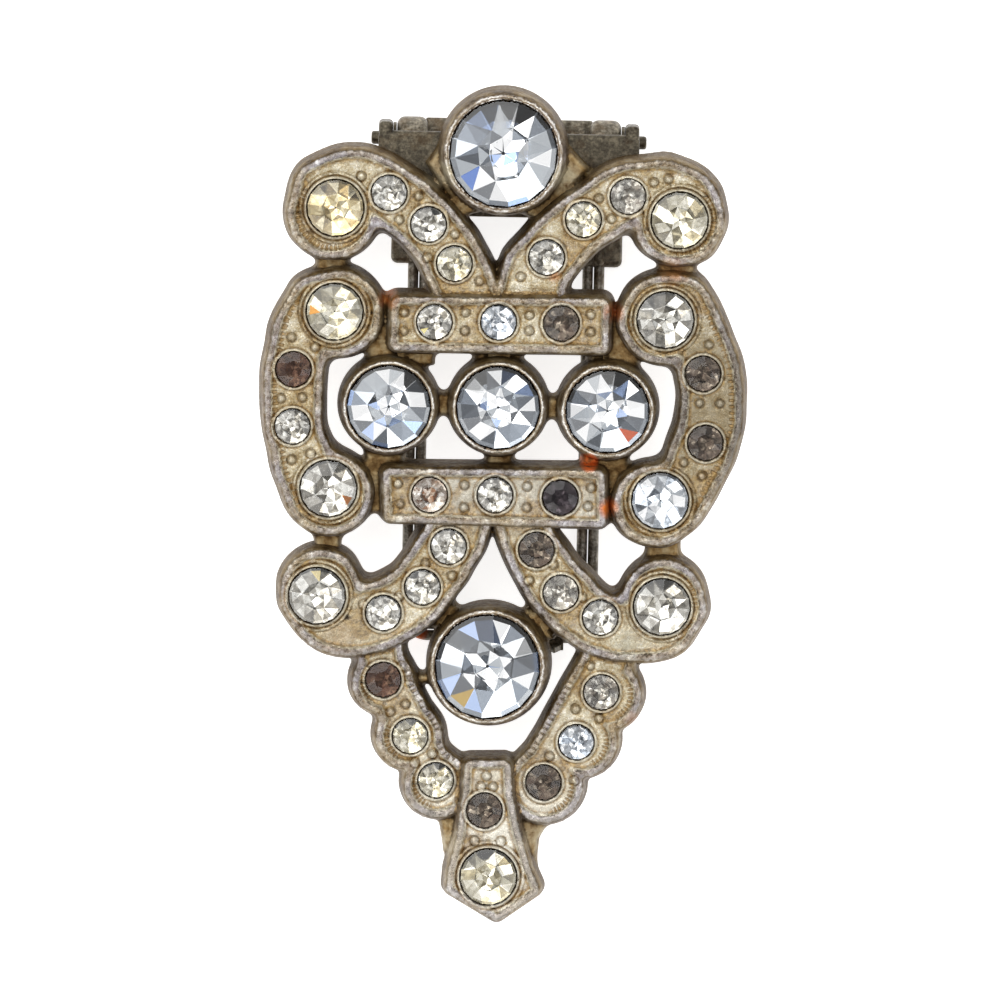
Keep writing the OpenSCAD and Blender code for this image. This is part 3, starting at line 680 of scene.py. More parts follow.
# Pitch of the points along outlines, rims and rings, in fine places, on the rest of the front and on the back
OUTLINE_PITCH = 0.16
RIM_PITCH = 0.17
RING_PITCH = 0.15
FINE_PITCH = 0.1
FILL_PITCH = 0.2
BACK_PITCH = 0.9
SIEVE_CELL = 0.05


def ring_points(x, y, r, turn):
    return np.stack([x + r * np.cos(turn), y + r * np.sin(turn)], axis=1)


def cast_points(names, low, high, border):
    """Points of one half's front, thickest where its shape turns sharply."""
    sieve = Sieve(low, high, SIEVE_CELL)
    sieve.add(border)
    for name in names:
        box = shape_box(name)
        if name in BEZELS:
            x, y, lip_r, d, shift = BEZELS[name]
            for r in [d / 2 + out for out in SEAT_RINGS] + [lip_r + out for out in LIP_RINGS]:
                turn = np.arange(int(math.tau * r / OUTLINE_PITCH)) * OUTLINE_PITCH / r
                lean = shift * np.clip((r - lip_r) / DRAFT, 0, 1)
                sieve.add(ring_points(x + lean, y, r, turn))
            continue
        for _, x, y, d, _, home, _ in STONES:
            if home != name:
                continue
            for out in MEDIUM_RINGS if d > SMALL_D else SMALL_RINGS:
                r = d / 2 + out
                turn = np.arange(int(math.tau * r / RING_PITCH)) * RING_PITCH / r
                sieve.add(ring_points(x, y, r, turn))
        for x, y in BEADS[name]:
            sieve.add(np.array([[x, y]]))
            for r, count in BEAD_RINGS:
                sieve.add(ring_points(x, y, r, np.arange(count) * math.tau / count))
        levels = WALL_LEVELS + RIM_LEVELS
        for line in level_lines(lambda p: motif_distance(name, p)[0], *box, levels, RIM_PITCH):
            covered = surface(names, line)[0] - shape_height(name, line)[0]
            sieve.add(line[covered < 0.12])
        fine = hex_points(*box, FINE_PITCH)
        phi, _ = motif_distance(name, fine)
        mask = np.zeros(len(fine), bool)
        for x, y, r in TICKS.get(name, ()):
            mask |= radius(fine, x, y) < r
        sieve.add(fine[mask & (phi < -RIM_W - 0.02) & (phi > -RIM_W - 0.55)])
        sieve.add(fine[(masked(BEADED.get(name, ()), fine) > 0) & (phi < 0.02) & (phi > -RIM_W)])
    for line in level_lines(lambda p: ground_distance(names, p), low, high, GROUND_LEVELS, FILL_PITCH):
        sieve.add(line)
    fill = hex_points(low, high, FILL_PITCH)
    sieve.add(fill[ground_distance(names, fill) < -0.08], reach=2)
    return np.vstack(sieve.kept)


def blurred(values, sigma):
    """A grid blurred by a bell of that many cells."""
    reach = int(3 * sigma)
    kernel = np.exp(-0.5 * (np.arange(-reach, reach + 1) / sigma) ** 2)
    kernel /= kernel.sum()
    for axis in (0, 1):
        pads = [(reach, reach) if a == axis else (0, 0) for a in (0, 1)]
        padded = np.pad(values, pads, mode="edge")
        values = sum(k * np.take(padded, np.arange(i, i + values.shape[axis]), axis=axis)
                     for i, k in enumerate(kernel))
    return values


def sampled(grid, xs, ys, p):
    """A grid's values at points, blended between its cells."""
    u = np.clip((p[:, 0] - xs[0]) / (xs[1] - xs[0]), 0, len(xs) - 1.001)
    v = np.clip((p[:, 1] - ys[0]) / (ys[1] - ys[0]), 0, len(ys) - 1.001)
    i, j = v.astype(int), u.astype(int)
    a, b = v - i, u - j
    return ((grid[i, j] * (1 - b) + grid[i, j + 1] * b) * (1 - a)
            + (grid[i + 1, j] * (1 - b) + grid[i + 1, j + 1] * b) * a)


def within(loops, p):
    """Whether points lie inside closed loops, with holes left out."""
    inside = np.zeros(len(p), bool)
    for line in loops:
        for a, b in zip(line, np.roll(line, -1, axis=0)):
            inside ^= crosses(p, a, b)
    return inside


def triangles(loops, inner, names):
    """Points and triangles inside the half's outline. The outline's own points come first."""
    edges = []
    start = 0
    for line in loops:
        count = len(line)
        edges += [(start + k, start + (k + 1) % count) for k in range(count)]
        start += count
    points = np.vstack([*loops, inner])
    out = delaunay_2d_cdt([Vector(q) for q in points.tolist()], edges, [], 0, 1e-7)
    flat = np.array([(v.x, v.y) for v in out[0]])
    tris = np.array(out[2])
    middle = flat[tris].mean(axis=1)
    distance = ground_distance(names, middle)
    keep = distance < 0
    close = np.abs(distance) < 0.06
    keep[close] = within(loops, middle[close])
    return flat, tris[keep]


def outline_triangles(tris, count):
    """The triangles whose corners are all among the outline's points."""
    return {tuple(sorted(t)) for t in tris.tolist() if max(t) < count}


def linked(name, data):
    """A new object in the scene."""
    made = bpy.data.objects.new(name, data)
    bpy.context.scene.collection.objects.link(made)
    return made


@contextmanager
def edited(mesh):
    """A mesh's form to change. It is written back at the end."""
    shape = bmesh.new()
    shape.from_mesh(mesh)
    yield shape
    shape.to_mesh(mesh)
    shape.free()


def turn_outward(mesh):
    with edited(mesh) as shape:
        bmesh.ops.recalc_face_normals(shape, faces=shape.faces)


def smooth_shaded(mesh, degrees):
    """Shade the mesh smooth, but for edges sharper than the angle."""
    mesh.polygons.foreach_set("use_smooth", [True] * len(mesh.polygons))
    mesh.set_sharp_from_angle(angle=math.radians(degrees))


def mesh_object(name, verts, faces, materials, smooth=True):
    """A new object from millimetre points."""
    mesh = bpy.data.meshes.new(name)
    mesh.from_pydata((np.asarray(verts) * MM).tolist(), [], [list(map(int, f)) for f in faces])
    for m in materials:
        mesh.materials.append(m)
    mesh.polygons.foreach_set("use_smooth", [smooth] * len(mesh.polygons))
    mesh.update()
    return linked(name, mesh)


def cast_half(piece_name, names, low, high, material):
    """One half of the cast front, closed by a flat back."""
    loops = level_lines(lambda p: ground_distance(names, p), low, high, (0.0,), OUTLINE_PITCH)
    border = np.vstack(loops)
    count = len(border)
    inner = cast_points(names, low, high, border)[count:]
    inner = inner[ground_distance(names, inner) < -0.03]
    flat, tris = triangles(loops, inner, names)
    height, facts = surface(names, flat)
    height[:count] = 0
    coarse = hex_points(low, high, BACK_PITCH)
    flat_back, back_tris = triangles(loops, coarse[ground_distance(names, coarse) < -0.3], names)
    top = np.column_stack([flat, BACK_Z + height])
    back = np.column_stack([flat_back[count:], np.full(len(flat_back) - count, BACK_Z)])
    slivers = outline_triangles(tris, count) & outline_triangles(back_tris, count)
    tris, back_tris = (np.array([t for t in rows.tolist() if tuple(sorted(t)) not in slivers])
                       for rows in (tris, back_tris))
    shift = np.where(back_tris < count, back_tris, back_tris - count + len(top))
    faces = np.vstack([tris, shift[:, ::-1]])
    piece = mesh_object(piece_name, np.vstack([top, back]), faces, [material])
    xs, ys, p = grid_points(low, high, FINE_PITCH)
    grid = surface(names, p)[0].reshape(len(ys), len(xs))
    facts["cavity"] = sampled(blurred(grid, 2.2) - grid, xs, ys, flat)
    facts["hollow"] = sampled(blurred(grid, 6.0) - grid, xs, ys, flat)
    for key, values in facts.items():
        behind = np.full(len(back), -1.0 if key == "depth" else 0.0)
        values = np.concatenate([values, behind]).astype(np.float32)
        piece.data.attributes.new(key, "FLOAT", "POINT").data.foreach_set("value", values)
    with edited(piece.data) as shape:
        bmesh.ops.delete(shape, geom=[v for v in shape.verts if not v.link_faces], context="VERTS")
    smooth_shaded(piece.data, CAST_SHARP)
    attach(piece, "front")
    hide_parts("casting")


# Materials


class Signal:
    """One output of a node in a material. Signals can be added, taken away and multiplied."""

    def __init__(self, tree, kind, inputs=None, output=0, **fields):
        self.tree = tree
        self.node = tree.nodes.new(kind)
        for key, value in fields.items():
            setattr(self.node, key, value)
        for key, value in (inputs or {}).items():
            feed(self.node.inputs[key], value)
        self.socket = self.node.outputs[output]

    def __add__(self, other):
        return calc("ADD", self, other)

    def __sub__(self, other):
        return calc("SUBTRACT", self, other)

    def __mul__(self, other):
        return calc("MULTIPLY", self, other)


def feed(target, value):
    """Give a node's input a signal, a number, a place or a colour."""
    if isinstance(value, Signal):
        target.id_data.links.new(value.socket, target)
    else:
        target.default_value = (*value, 1) if target.type == "RGBA" else value


def new_material(name):
    made = bpy.data.materials.new(name)
    made.use_nodes = True
    return made


def shaded(material, looks):
    """The material, with these inputs of its shader set."""
    shader = material.node_tree.nodes["Principled BSDF"]
    for key, value in looks.items():
        feed(shader.inputs[key], value)
    return material


def calc(operation, *values):
    return Signal(values[0].tree, "ShaderNodeMath", dict(enumerate(values)), operation=operation)


def vector(operation, a, b, output=0):
    return Signal(a.tree, "ShaderNodeVectorMath", {0: a, 1: b}, output, operation=operation)


def millimetres(tree):
    """The point on the object, in millimetres."""
    return vector("MULTIPLY", Signal(tree, "ShaderNodeTexCoord", output="Object"), (1000, 1000, 1000))


def attribute(tree, name):
    return Signal(tree, "ShaderNodeAttribute", output="Fac", attribute_name=name)


def spread(value, low, high):
    """A value stretched so that low gives 0 and high gives 1."""
    limits = {"Value": value, "From Min": low, "From Max": high}
    return Signal(value.tree, "ShaderNodeMapRange", limits, "Result", clamp=True)


def band(value, a, b, c, d):
    """0 up to a, 1 from b to c, 0 again from d."""
    return spread(value, a, b) * spread(value, d, c)


def noise(place, size, detail=3.0, rough=0.55, shift=(0, 0, 0)):
    """Noise from 0 to 1 whose lumps are about the given size in millimetres."""
    looks = {"Vector": vector("ADD", place, shift), "Scale": 1 / size, "Detail": detail, "Roughness": rough}
    return Signal(place.tree, "ShaderNodeTexNoise", looks, "Fac")


def spot(place, x, y, r, soft):
    """1 inside a round place on the front, 0 outside, whatever the height."""
    gap = vector("DISTANCE", vector("MULTIPLY", place, (1, 1, 0)), (x, y, 0), "Value")
    return spread(gap, r + soft, r - soft)


def bump(height, strength, rise):
    """A surface roughened by a height. The rise in metres stands for a height of 1."""
    looks = {"Height": height, "Strength": strength, "Distance": rise}
    return Signal(height.tree, "ShaderNodeBump", looks, "Normal")


def ramp(fac, stops):
    """Colours along a factor. Each stop is a place and a colour."""
    made = Signal(fac.tree, "ShaderNodeValToRGB", {"Fac": fac})
    elements = made.node.color_ramp.elements
    while len(elements) > 1:
        elements.remove(elements[-1])
    elements[0].position, elements[0].color = stops[0][0], (*stops[0][1], 1)
    for place, colour in stops[1:]:
        elements.new(place).color = (*colour, 1)
    return made


def mix(fac, a, b, blend="MIX"):
    """One colour over another."""
    return Signal(fac.tree, "ShaderNodeMix", {0: fac, 6: a, 7: b}, 2, data_type="RGBA", blend_type=blend)


def layered(colour, layers):
    """A colour with others laid over it in turn. Each layer is where it lies, its strength and its colour."""
    for amount, strength, above in layers:
        colour = mix(amount * strength, colour, above)
    return colour


# Stains on the front: x, y, radius, softness, strength, colour
STAINS = [
    (-8.8, 15.5, 0.6, 0.35, 0.95, (0.42, 0.13, 0.025)),
    (8.1, 14.8, 0.6, 0.35, 0.9, (0.40, 0.12, 0.03)),
    (8, 0.1, 0.6, 0.3, 1, (0.56, 0.15, 0.025)),
    (6.5, 3.5, 0.6, 0.2, 1, (0.86, 0.17, 0.025)),
    (12.5, 17.9, 0.9, 0.5, 0.7, (0.33, 0.15, 0.05)),
    (-12, -10, 0.9, 0.7, 0.5, (0.26, 0.14, 0.05)),
    (3.6, 17.5, 0.45, 0.25, 0.8, (0.38, 0.16, 0.05)),
    (-11.4, -8.6, 0.2, 0.1, 0.9, (0.02, 0.012, 0.008)),
    (9.6, -10.2, 0.9, 0.6, 0.35, (0.42, 0.44, 0.38)),
    (10.2, -15.9, 0.5, 0.3, 0.5, (0.26, 0.09, 0.05)),
    (-5, 24.9, 1, 0.4, 0.7, (0.52, 0.46, 0.32)),
    (4.3, 24.8, 1, 0.4, 0.7, (0.52, 0.46, 0.32)),
    (-3.5, -25.6, 0.7, 0.4, 0.6, (0.48, 0.41, 0.28)),
    (3.1, -24.8, 0.9, 0.5, 0.6, (0.48, 0.41, 0.28)),
]

# Wide changes of tone on the fields and on the rims: x, y, radius, softness, strength, colour
FIELD_TONES = [
    (-16, 8, 4, 3, 0.3, (0.32, 0.22, 0.09)),
    (15.5, 8.5, 6, 3, 0.75, (0.20, 0.155, 0.09)),
    (0, -27, 8, 5, 0.7, (0.78, 0.75, 0.67)),
    (-8, -15, 5, 3, 0.45, (0.66, 0.61, 0.49)),
    (13, -8, 4, 3, 0.25, (0.62, 0.59, 0.50)),
    (-5, 0.8, 3, 1.2, 0.55, (0.46, 0.44, 0.39)),
    (0, 0.8, 3, 1.2, 0.55, (0.46, 0.44, 0.39)),
    (5, 0.8, 3, 1.2, 0.55, (0.46, 0.44, 0.39)),
    (-12, -9.5, 4, 2, 0.4, (0.40, 0.35, 0.25)),
]
RIM_TONES = [
    (17, 8, 6, 3, 0.85, (0.085, 0.066, 0.05)),
    (-17, 8, 4, 3, 0.35, (0.18, 0.115, 0.05)),
    (0, -26, 7, 4, 0.4, (0.52, 0.48, 0.43)),
]

# Colours of the cast metal's kinds of surface, from their darkest to their lightest places
CREAM = [(0.15, (0.19, 0.125, 0.055)), (0.35, (0.38, 0.305, 0.18)), (0.6, (0.53, 0.47, 0.34)),
         (0.85, (0.74, 0.70, 0.60))]
GOLD = [(0.1, (0.085, 0.042, 0.012)), (0.5, (0.24, 0.14, 0.045)), (0.9, (0.42, 0.29, 0.12))]
SILVER = [(0.15, (0.06, 0.046, 0.038)), (0.35, (0.16, 0.132, 0.12)), (0.5, (0.25, 0.22, 0.222)),
          (0.68, (0.36, 0.335, 0.345)), (0.88, (0.70, 0.68, 0.68))]
BRASS = [(0.15, (0.07, 0.04, 0.014)), (0.4, (0.22, 0.152, 0.07)), (0.62, (0.38, 0.30, 0.18)),
         (0.88, (0.66, 0.60, 0.46))]
OLIVE = [(0.1, (0.035, 0.018, 0.005)), (0.35, (0.10, 0.06, 0.02)), (0.55, (0.17, 0.115, 0.048)),
         (0.75, (0.22, 0.168, 0.095)), (0.95, (0.26, 0.225, 0.175))]
STRUT_GOLD = [(0.1, (0.16, 0.085, 0.025)), (0.5, (0.34, 0.22, 0.09)), (0.9, (0.52, 0.40, 0.22))]


def cast_material():
    """Old plated pot metal: a cream field, worn silvery rims, olive walls and brown dirt in the hollows.
    Painted shade darkens the deepest hollows, the feet of the walls and the tops of up-facing walls. Painted
    highlights lighten the shoulders of down-facing walls and the rims' inner edges, and raised places are
    lighter from wear and painted highlight.
    """
    made = new_material("cast_metal_worn")
    tree = made.node_tree
    place = millimetres(tree)
    cavity, hollow, depth, beyond, along, ticks, beaded, bead, lip = (
        attribute(tree, key)
        for key in ("cavity", "hollow", "depth", "beyond", "along", "ticks", "beaded", "bead", "lip"))
    speck = spread(noise(place, 0.14, 3, 0.6), 0.3, 0.7)
    fine = spread(noise(place, 0.34, 4, 0.6, (3, 8, 1)), 0.3, 0.7)
    small = spread(noise(place, 0.95, 4, 0.6, (9, 1, 4)), 0.3, 0.7)
    broad = spread(noise(place, 3.2, 3, 0.55, (1, 5, 7)), 0.35, 0.65)
    lumps = noise(place, 0.5, 3, 0.5, (2, 6, 3))
    wobble = (fine - 0.5) * 0.14
    edge = depth + wobble
    around = beyond + wobble * 0.5
    normal = Signal(tree, "ShaderNodeTexCoord", output="Normal")
    facing_y, facing_z = (Signal(tree, "ShaderNodeSeparateXYZ", {0: normal}, axis) for axis in "YZ")

    # Where each kind of surface and each line lies
    on_rim = band(edge, -0.06, 0.0, 0.4, 0.5)
    on_wall = spread(edge, 0.0, -0.08)
    stained = band(broad + small * 0.3, 0.75, 1.0, 2, 3)
    # Painted highlight: a cream line along the rim's inner edge
    rim_inner_highlight = band(edge, 0.36, 0.44, 0.5, 0.58)
    rim_foot = band(edge, 0.53, 0.6, 0.68, 0.84)
    stroke = calc("COSINE", along * (math.tau / TICK_PITCH))
    tick = spread(stroke, 0.25, -0.45) * (ticks * band(edge, 0.48, 0.56, 0.86, 0.98))
    beat = calc("ABSOLUTE", calc("COSINE", along * (math.pi / TINY_BEAD_PITCH)))
    notch = spread(beat, 0.5, 0.2) * (beaded * band(edge, 0.0, 0.05, 0.45, 0.6))
    bead_foot = band(bead, BEAD_R - 0.03, BEAD_R + 0.03, BEAD_R + 0.07, BEAD_R + 0.15)
    collar = band(around, 0.1, 0.16, 0.24, 0.3)
    collar_foot = band(around, 0.26, 0.32, 0.38, 0.48)
    dirt = spread(cavity + fine * 0.08, 0.09, 0.16)
    # Raised places lighter: partly real wear, partly painted highlight
    worn = spread(cavity + speck * 0.14, 0.02, -0.06)
    strut_front = spread(facing_z, 0.45, 0.85) * spread(edge, -0.12, -0.25)
    # Painted highlight: walls that face down the front (-Y) take the rim's lighter colour just below the rim
    lit_shoulder = spread(facing_y, 0.35, -0.05) * band(edge, -0.42, -0.28, 0.0, 0.05)
    lip_line = lip * band(edge, 0.14, 0.19, 0.25, 0.31)
    lip_shine = (lip * spread(small, 0.3, 0.6)) * (
        band(edge, 0.0, 0.05, 0.1, 0.14) + band(edge, 0.28, 0.32, 0.36, 0.4))
    # Painted shade: a dark band low on the walls, near their feet, left off the strut fronts
    foot_shade = band(edge, -0.26, -0.36, -0.46, -0.58) * spread(strut_front, 1.3, 0.2)
    # Painted shade: a dark line along the top of walls that face up the front (+Y)
    upper_edge_shade = spread(facing_y, -0.1, 0.3) * band(edge, -0.14, -0.05, 0.0, 0.06)

    mottle = fine * 0.4 + small * 0.6
    gold = ramp(fine, GOLD)
    field = layered(ramp(speck * 0.5 + small * 0.5, CREAM), [
        (spot(place, *circle), strength, tone) for *circle, strength, tone in FIELD_TONES])
    field = layered(field, [(stained, 0.6, gold)])
    rim = layered(ramp(mottle, SILVER), [(broad, 0.85, ramp(mottle, BRASS))] + [
        (spot(place, *circle), strength, tone) for *circle, strength, tone in RIM_TONES])
    walls = layered(ramp(broad * 0.4 + small * 0.6, OLIVE), [
        (lit_shoulder, 0.42, rim), (strut_front, 0.9, ramp(small, STRUT_GOLD))])
    colour = layered(mix(on_rim, field, rim), [
        (rim_inner_highlight, 0.55, (0.66, 0.60, 0.46)),
        (rim_foot, 0.55, gold),
        (tick, 0.75, (0.27, 0.17, 0.07)),
        (notch, 0.65, (0.20, 0.14, 0.07)),
        (bead_foot, 0.75, (0.10, 0.065, 0.03)),
        (collar, 0.4, (0.60, 0.54, 0.40)),
        (collar_foot, 0.55, gold),
        (dirt, 0.8, gold),
        (worn, 0.15, (0.76, 0.73, 0.66)),
        (lip_line, 0.8, (0.10, 0.056, 0.02)),
        (lip_shine, 0.7, (0.85, 0.83, 0.79)),
    ])
    colour = layered(mix(on_wall, colour, walls), [
        (foot_shade, 0.7, (0.06, 0.034, 0.012)),
        (upper_edge_shade, 0.6, (0.055, 0.038, 0.024)),
        (spread(around, 0.1, 0.05), 0.85, (0.085, 0.048, 0.018)),
        # painted shade: the deepest hollows are darkened
        (spread(hollow, 0.4, 1.4), 0.2, (0.06, 0.034, 0.014)),
    ] + [(spot(place, *circle) * spread(small, 0.0, 0.6), strength, stain)
         for *circle, strength, stain in STAINS])
    grain = speck * 0.22 + (fine * 0.5 + lumps * 2.6) - tick * 0.9 - notch * 0.9
    return shaded(made, {
        "Base Color": colour,
        "Metallic": on_rim * 0.2 + 0.65 - on_wall * 0.1,
        "Specular IOR Level": 0.25,
        "Roughness": fine * 0.22 + (on_wall * 0.25 + 0.18),
        "Normal": bump(grain, 0.8, 0.00008),
    })


# Red and orange paint on the wires: x, y, radius, softness, colour
PAINT = [
    (6.6, 3.1, 0.55, 0.15, (0.52, 0.07, 0.03)),
    (7.1, 2.4, 0.3, 0.15, (0.62, 0.22, 0.06)),
    (-6, -10.1, 0.6, 0.2, (0.5, 0.12, 0.04)),
]


def nickel_material(name, dark, light, rust, metallic):
    """Old dull nickel on brass or steel, grainy, with brown tarnish and a few spots of paint."""
    made = new_material(name)
    place = millimetres(made.node_tree)
    grit = noise(place, 0.7, 5, 0.7) * 0.6 + noise(place, 0.2, 3, 0.6, (5, 2, 8)) * 0.4
    middle = tuple((a + b) / 2.6 for a, b in zip(dark, light))
    base = ramp(grit, [(0.36, dark), (0.5, middle), (0.64, light)])
    tarnish = spread(noise(place, 1.7, 4, 0.6, (3, 1, 7)), 0.5, 0.65)
    return shaded(made, {
        "Base Color": layered(base, [(tarnish, 0.6, rust)] + [
            (spot(place, x, y, r, soft), 1, paint) for x, y, r, soft, paint in PAINT]),
        "Metallic": metallic,
        "Roughness": noise(place, 0.3) * 0.3 + 0.26,
        "Normal": bump(noise(place, 0.18, 4, 0.65), 0.5, 0.00009),
    })


def glass_material(name, colour, ior):
    """Cut glass."""
    return shaded(new_material(name), {
        "Base Color": colour, "Transmission Weight": 1, "Roughness": 0, "IOR": ior})


# Size of the glints a facet's foil is broken into, and how blue a cool facet is
GLINT_SIZE = 0.26
COOL_TINT = (0.42, 0.6, 1.0)


def foil_material(name, stops, patches=None, roughness=0.06):
    """Foil behind a stone. Each facet has its own tint, which is painted reflection, broken into glints, and
    patches of age darken it.
    """
    made = new_material(name)
    tree = made.node_tree
    place = millimetres(tree)
    cells = Signal(tree, "ShaderNodeTexVoronoi", {"Vector": place, "Scale": 1 / GLINT_SIZE}, "Color")
    glint = Signal(tree, "ShaderNodeSeparateColor", {"Color": cells}, "Red")
    own, broken, cool = (attribute(tree, key) for key in ("tint", "broken", "cool"))
    colour = mix(cool, ramp(own + (glint - own) * broken, stops), COOL_TINT, "MULTIPLY")
    if patches:
        low, high, amount, shade = patches
        colour = layered(colour, [(spread(noise(place, 0.55, 3, 0.6), low, high), amount, shade)])
    return shaded(made, {"Base Color": colour, "Metallic": 1, "Roughness": roughness})


# Each state of a stone: slot, tint of the glass, roughness of the foil, patches of age on it (from and to
# which level of the noise, amount, colour), and the foil's colours along the facets' tint
# The facets' tint is painted reflection: bright, middling and dark facets stand for the light or dark each
# facet catches
STATES = {
    "clear": ("clear_stone", (0.99, 0.995, 1.0), 0.04, None, [
        (0, (0.03, 0.032, 0.036)), (0.2, (0.10, 0.112, 0.13)), (0.4, (0.26, 0.285, 0.32)),
        (0.62, (0.50, 0.53, 0.56)), (0.82, (1, 1, 1))]),
    "silvery": ("clear_stone", (0.99, 0.99, 0.97), 0.08, (0.5, 0.75, 0.4, (0.34, 0.3, 0.23)), [
        (0, (0.035, 0.03, 0.025)), (0.3, (0.14, 0.13, 0.11)), (0.6, (0.46, 0.44, 0.4)),
        (0.95, (1, 0.99, 0.95))]),
    "yellowed": ("yellowed_stone", (1.0, 0.99, 0.95), 0.09, (0.45, 0.7, 0.4, (0.42, 0.35, 0.2)), [
        (0, (0.055, 0.045, 0.028)), (0.3, (0.22, 0.195, 0.135)), (0.6, (0.5, 0.47, 0.37)),
        (0.95, (1, 0.975, 0.9))]),
    "champagne": ("yellowed_stone", (1.0, 0.96, 0.84), 0.09, (0.45, 0.7, 0.5, (0.5, 0.37, 0.18)), [
        (0, (0.08, 0.06, 0.035)), (0.3, (0.3, 0.24, 0.14)), (0.6, (0.6, 0.52, 0.34)),
        (0.95, (1, 0.95, 0.78))]),
    "grey": ("dark_stone", (0.97, 0.96, 0.93), 0.12, (0.4, 0.65, 0.6, (0.13, 0.11, 0.09)), [
        (0, (0.03, 0.025, 0.02)), (0.35, (0.13, 0.12, 0.11)), (0.65, (0.33, 0.32, 0.29)),
        (0.95, (0.85, 0.83, 0.78))]),
    "dark": ("dark_stone", (0.95, 0.92, 0.88), 0.16, (0.4, 0.65, 0.7, (0.06, 0.043, 0.035)), [
        (0, (0.015, 0.012, 0.01)), (0.5, (0.06, 0.048, 0.038)), (0.8, (0.14, 0.118, 0.095)),
        (1, (0.5, 0.44, 0.36))]),
    "black": ("dark_stone", (0.9, 0.88, 0.89), 0.25, (0.4, 0.65, 0.8, (0.02, 0.014, 0.015)), [
        (0, (0.01, 0.008, 0.009)), (0.6, (0.03, 0.024, 0.027)), (1, (0.14, 0.12, 0.13))]),
    "brown": ("dark_stone", (0.95, 0.89, 0.85), 0.25, (0.35, 0.65, 0.7, (0.07, 0.036, 0.025)), [
        (0, (0.014, 0.008, 0.006)), (0.5, (0.042, 0.024, 0.017)), (1, (0.19, 0.125, 0.085))]),
    "ringed": ("dark_stone", (0.98, 0.97, 0.95), 0.12, (0.4, 0.65, 0.5, (0.18, 0.11, 0.07)), [
        (0, (0.12, 0.045, 0.02)), (0.2, (0.12, 0.07, 0.045)), (0.4, (0.22, 0.19, 0.16)),
        (0.7, (0.5, 0.47, 0.43)), (1, (0.95, 0.93, 0.9))]),
}

# Index of refraction of the glass over dark foil and over the others
DARK_IOR = 1.38
BRIGHT_IOR = 1.56

# How far out a facet of another colour lies, as a share of the radius
ACCENT_REACH = 0.8

# Single facets of another colour: azimuth of the facet in degrees, colour
ACCENTS = {
    "stone_top": (217, (0.07, 0.19, 0.58)),
    "stone_bottom": (241, (0.52, 0.34, 0.06)),
    "stone_middle_right": (310, (0.22, 0.05, 0.025)),
    "stone_arm_lower_left": (325, (0.42, 0.15, 0.035)),
    "stone_arm_upper_left": (180, (0.42, 0.2, 0.045)),
    "stone_lower_scroll_left": (90, (0.85, 0.70, 0.34)),
    "stone_top_bar_1": (225, (0.88, 0.76, 0.30)),
}


# Stones

# Table width and crown height for each unit of diameter, first for large stones, then for the others
CROWNS = ((0.26, 0.12), (0.5, 0.075))
GIRDLE_RATIO = 0.02

# The foiled cup's rings: share of the radius, depth as a share of the radius
CUP_OUTER = (0.9, 0.012)
CUP_MIDDLE = (0.48, 0.05)
CUP_INNER = (0.25, 0.095)
CUP_CULET = (0.035, 0.135)

# Painted reflections: the tints below, the girdle's and the culet's too, stand for the light or dark each
# foil facet would reflect
# Tints of bright, middling and dark foil facets, how far a facet strays from its tint (from, to), and the
# chances of the three tints in the cup's rows from rim to culet
FOIL_TINTS = (0.95, 0.62, 0.22)
TINT_CHANGE = (-0.07, 0.05)
TINT_CHANCES = {
    "rim_left": (0.8, 0.15, 0.05), "rim_right": (0, 0.3, 0.7),
    "slope_even": (0.35, 0.35, 0.3), "slope_odd": (0.1, 0.65, 0.25),
    "kite_even": (0.1, 0.5, 0.4), "kite_odd": (0.3, 0.4, 0.3), "kite_side": (0.45, 0.3, 0.25),
    "culet_side": (0.55, 0.35, 0.1), "culet": (0.4, 0.4, 0.2),
}

# Tints of the foiled girdle, of the facets next to it (from, to), and of the culet
GIRDLE_TINT = 0.6
EDGE_TINTS = (0.3, 0.68)
CULET_TINT = 0.05

# Large stones have a few bluish facets: their chance, and how blue they are
COOL_CHANCE = 0.08
COOL_SHARE = 0.75

# How far the cup's corners stray, as shares of the radius: sideways in large and other stones, and in height
STRAY_LARGE = 0.03
STRAY_SMALL = 0.055
STRAY_HEIGHT = 0.012

# Share of its tint that the middle of a ringed stone keeps, and how far smaller stones' foil is broken up
RINGED_CENTRE = 0.15
BROKEN_MEDIUM = 0.25
BROKEN_SMALL = 0.6


def ring(count, r, z, turn=0.0):
    return [(r * math.cos((i + turn) * math.tau / count), r * math.sin((i + turn) * math.tau / count), z)
            for i in range(count)]


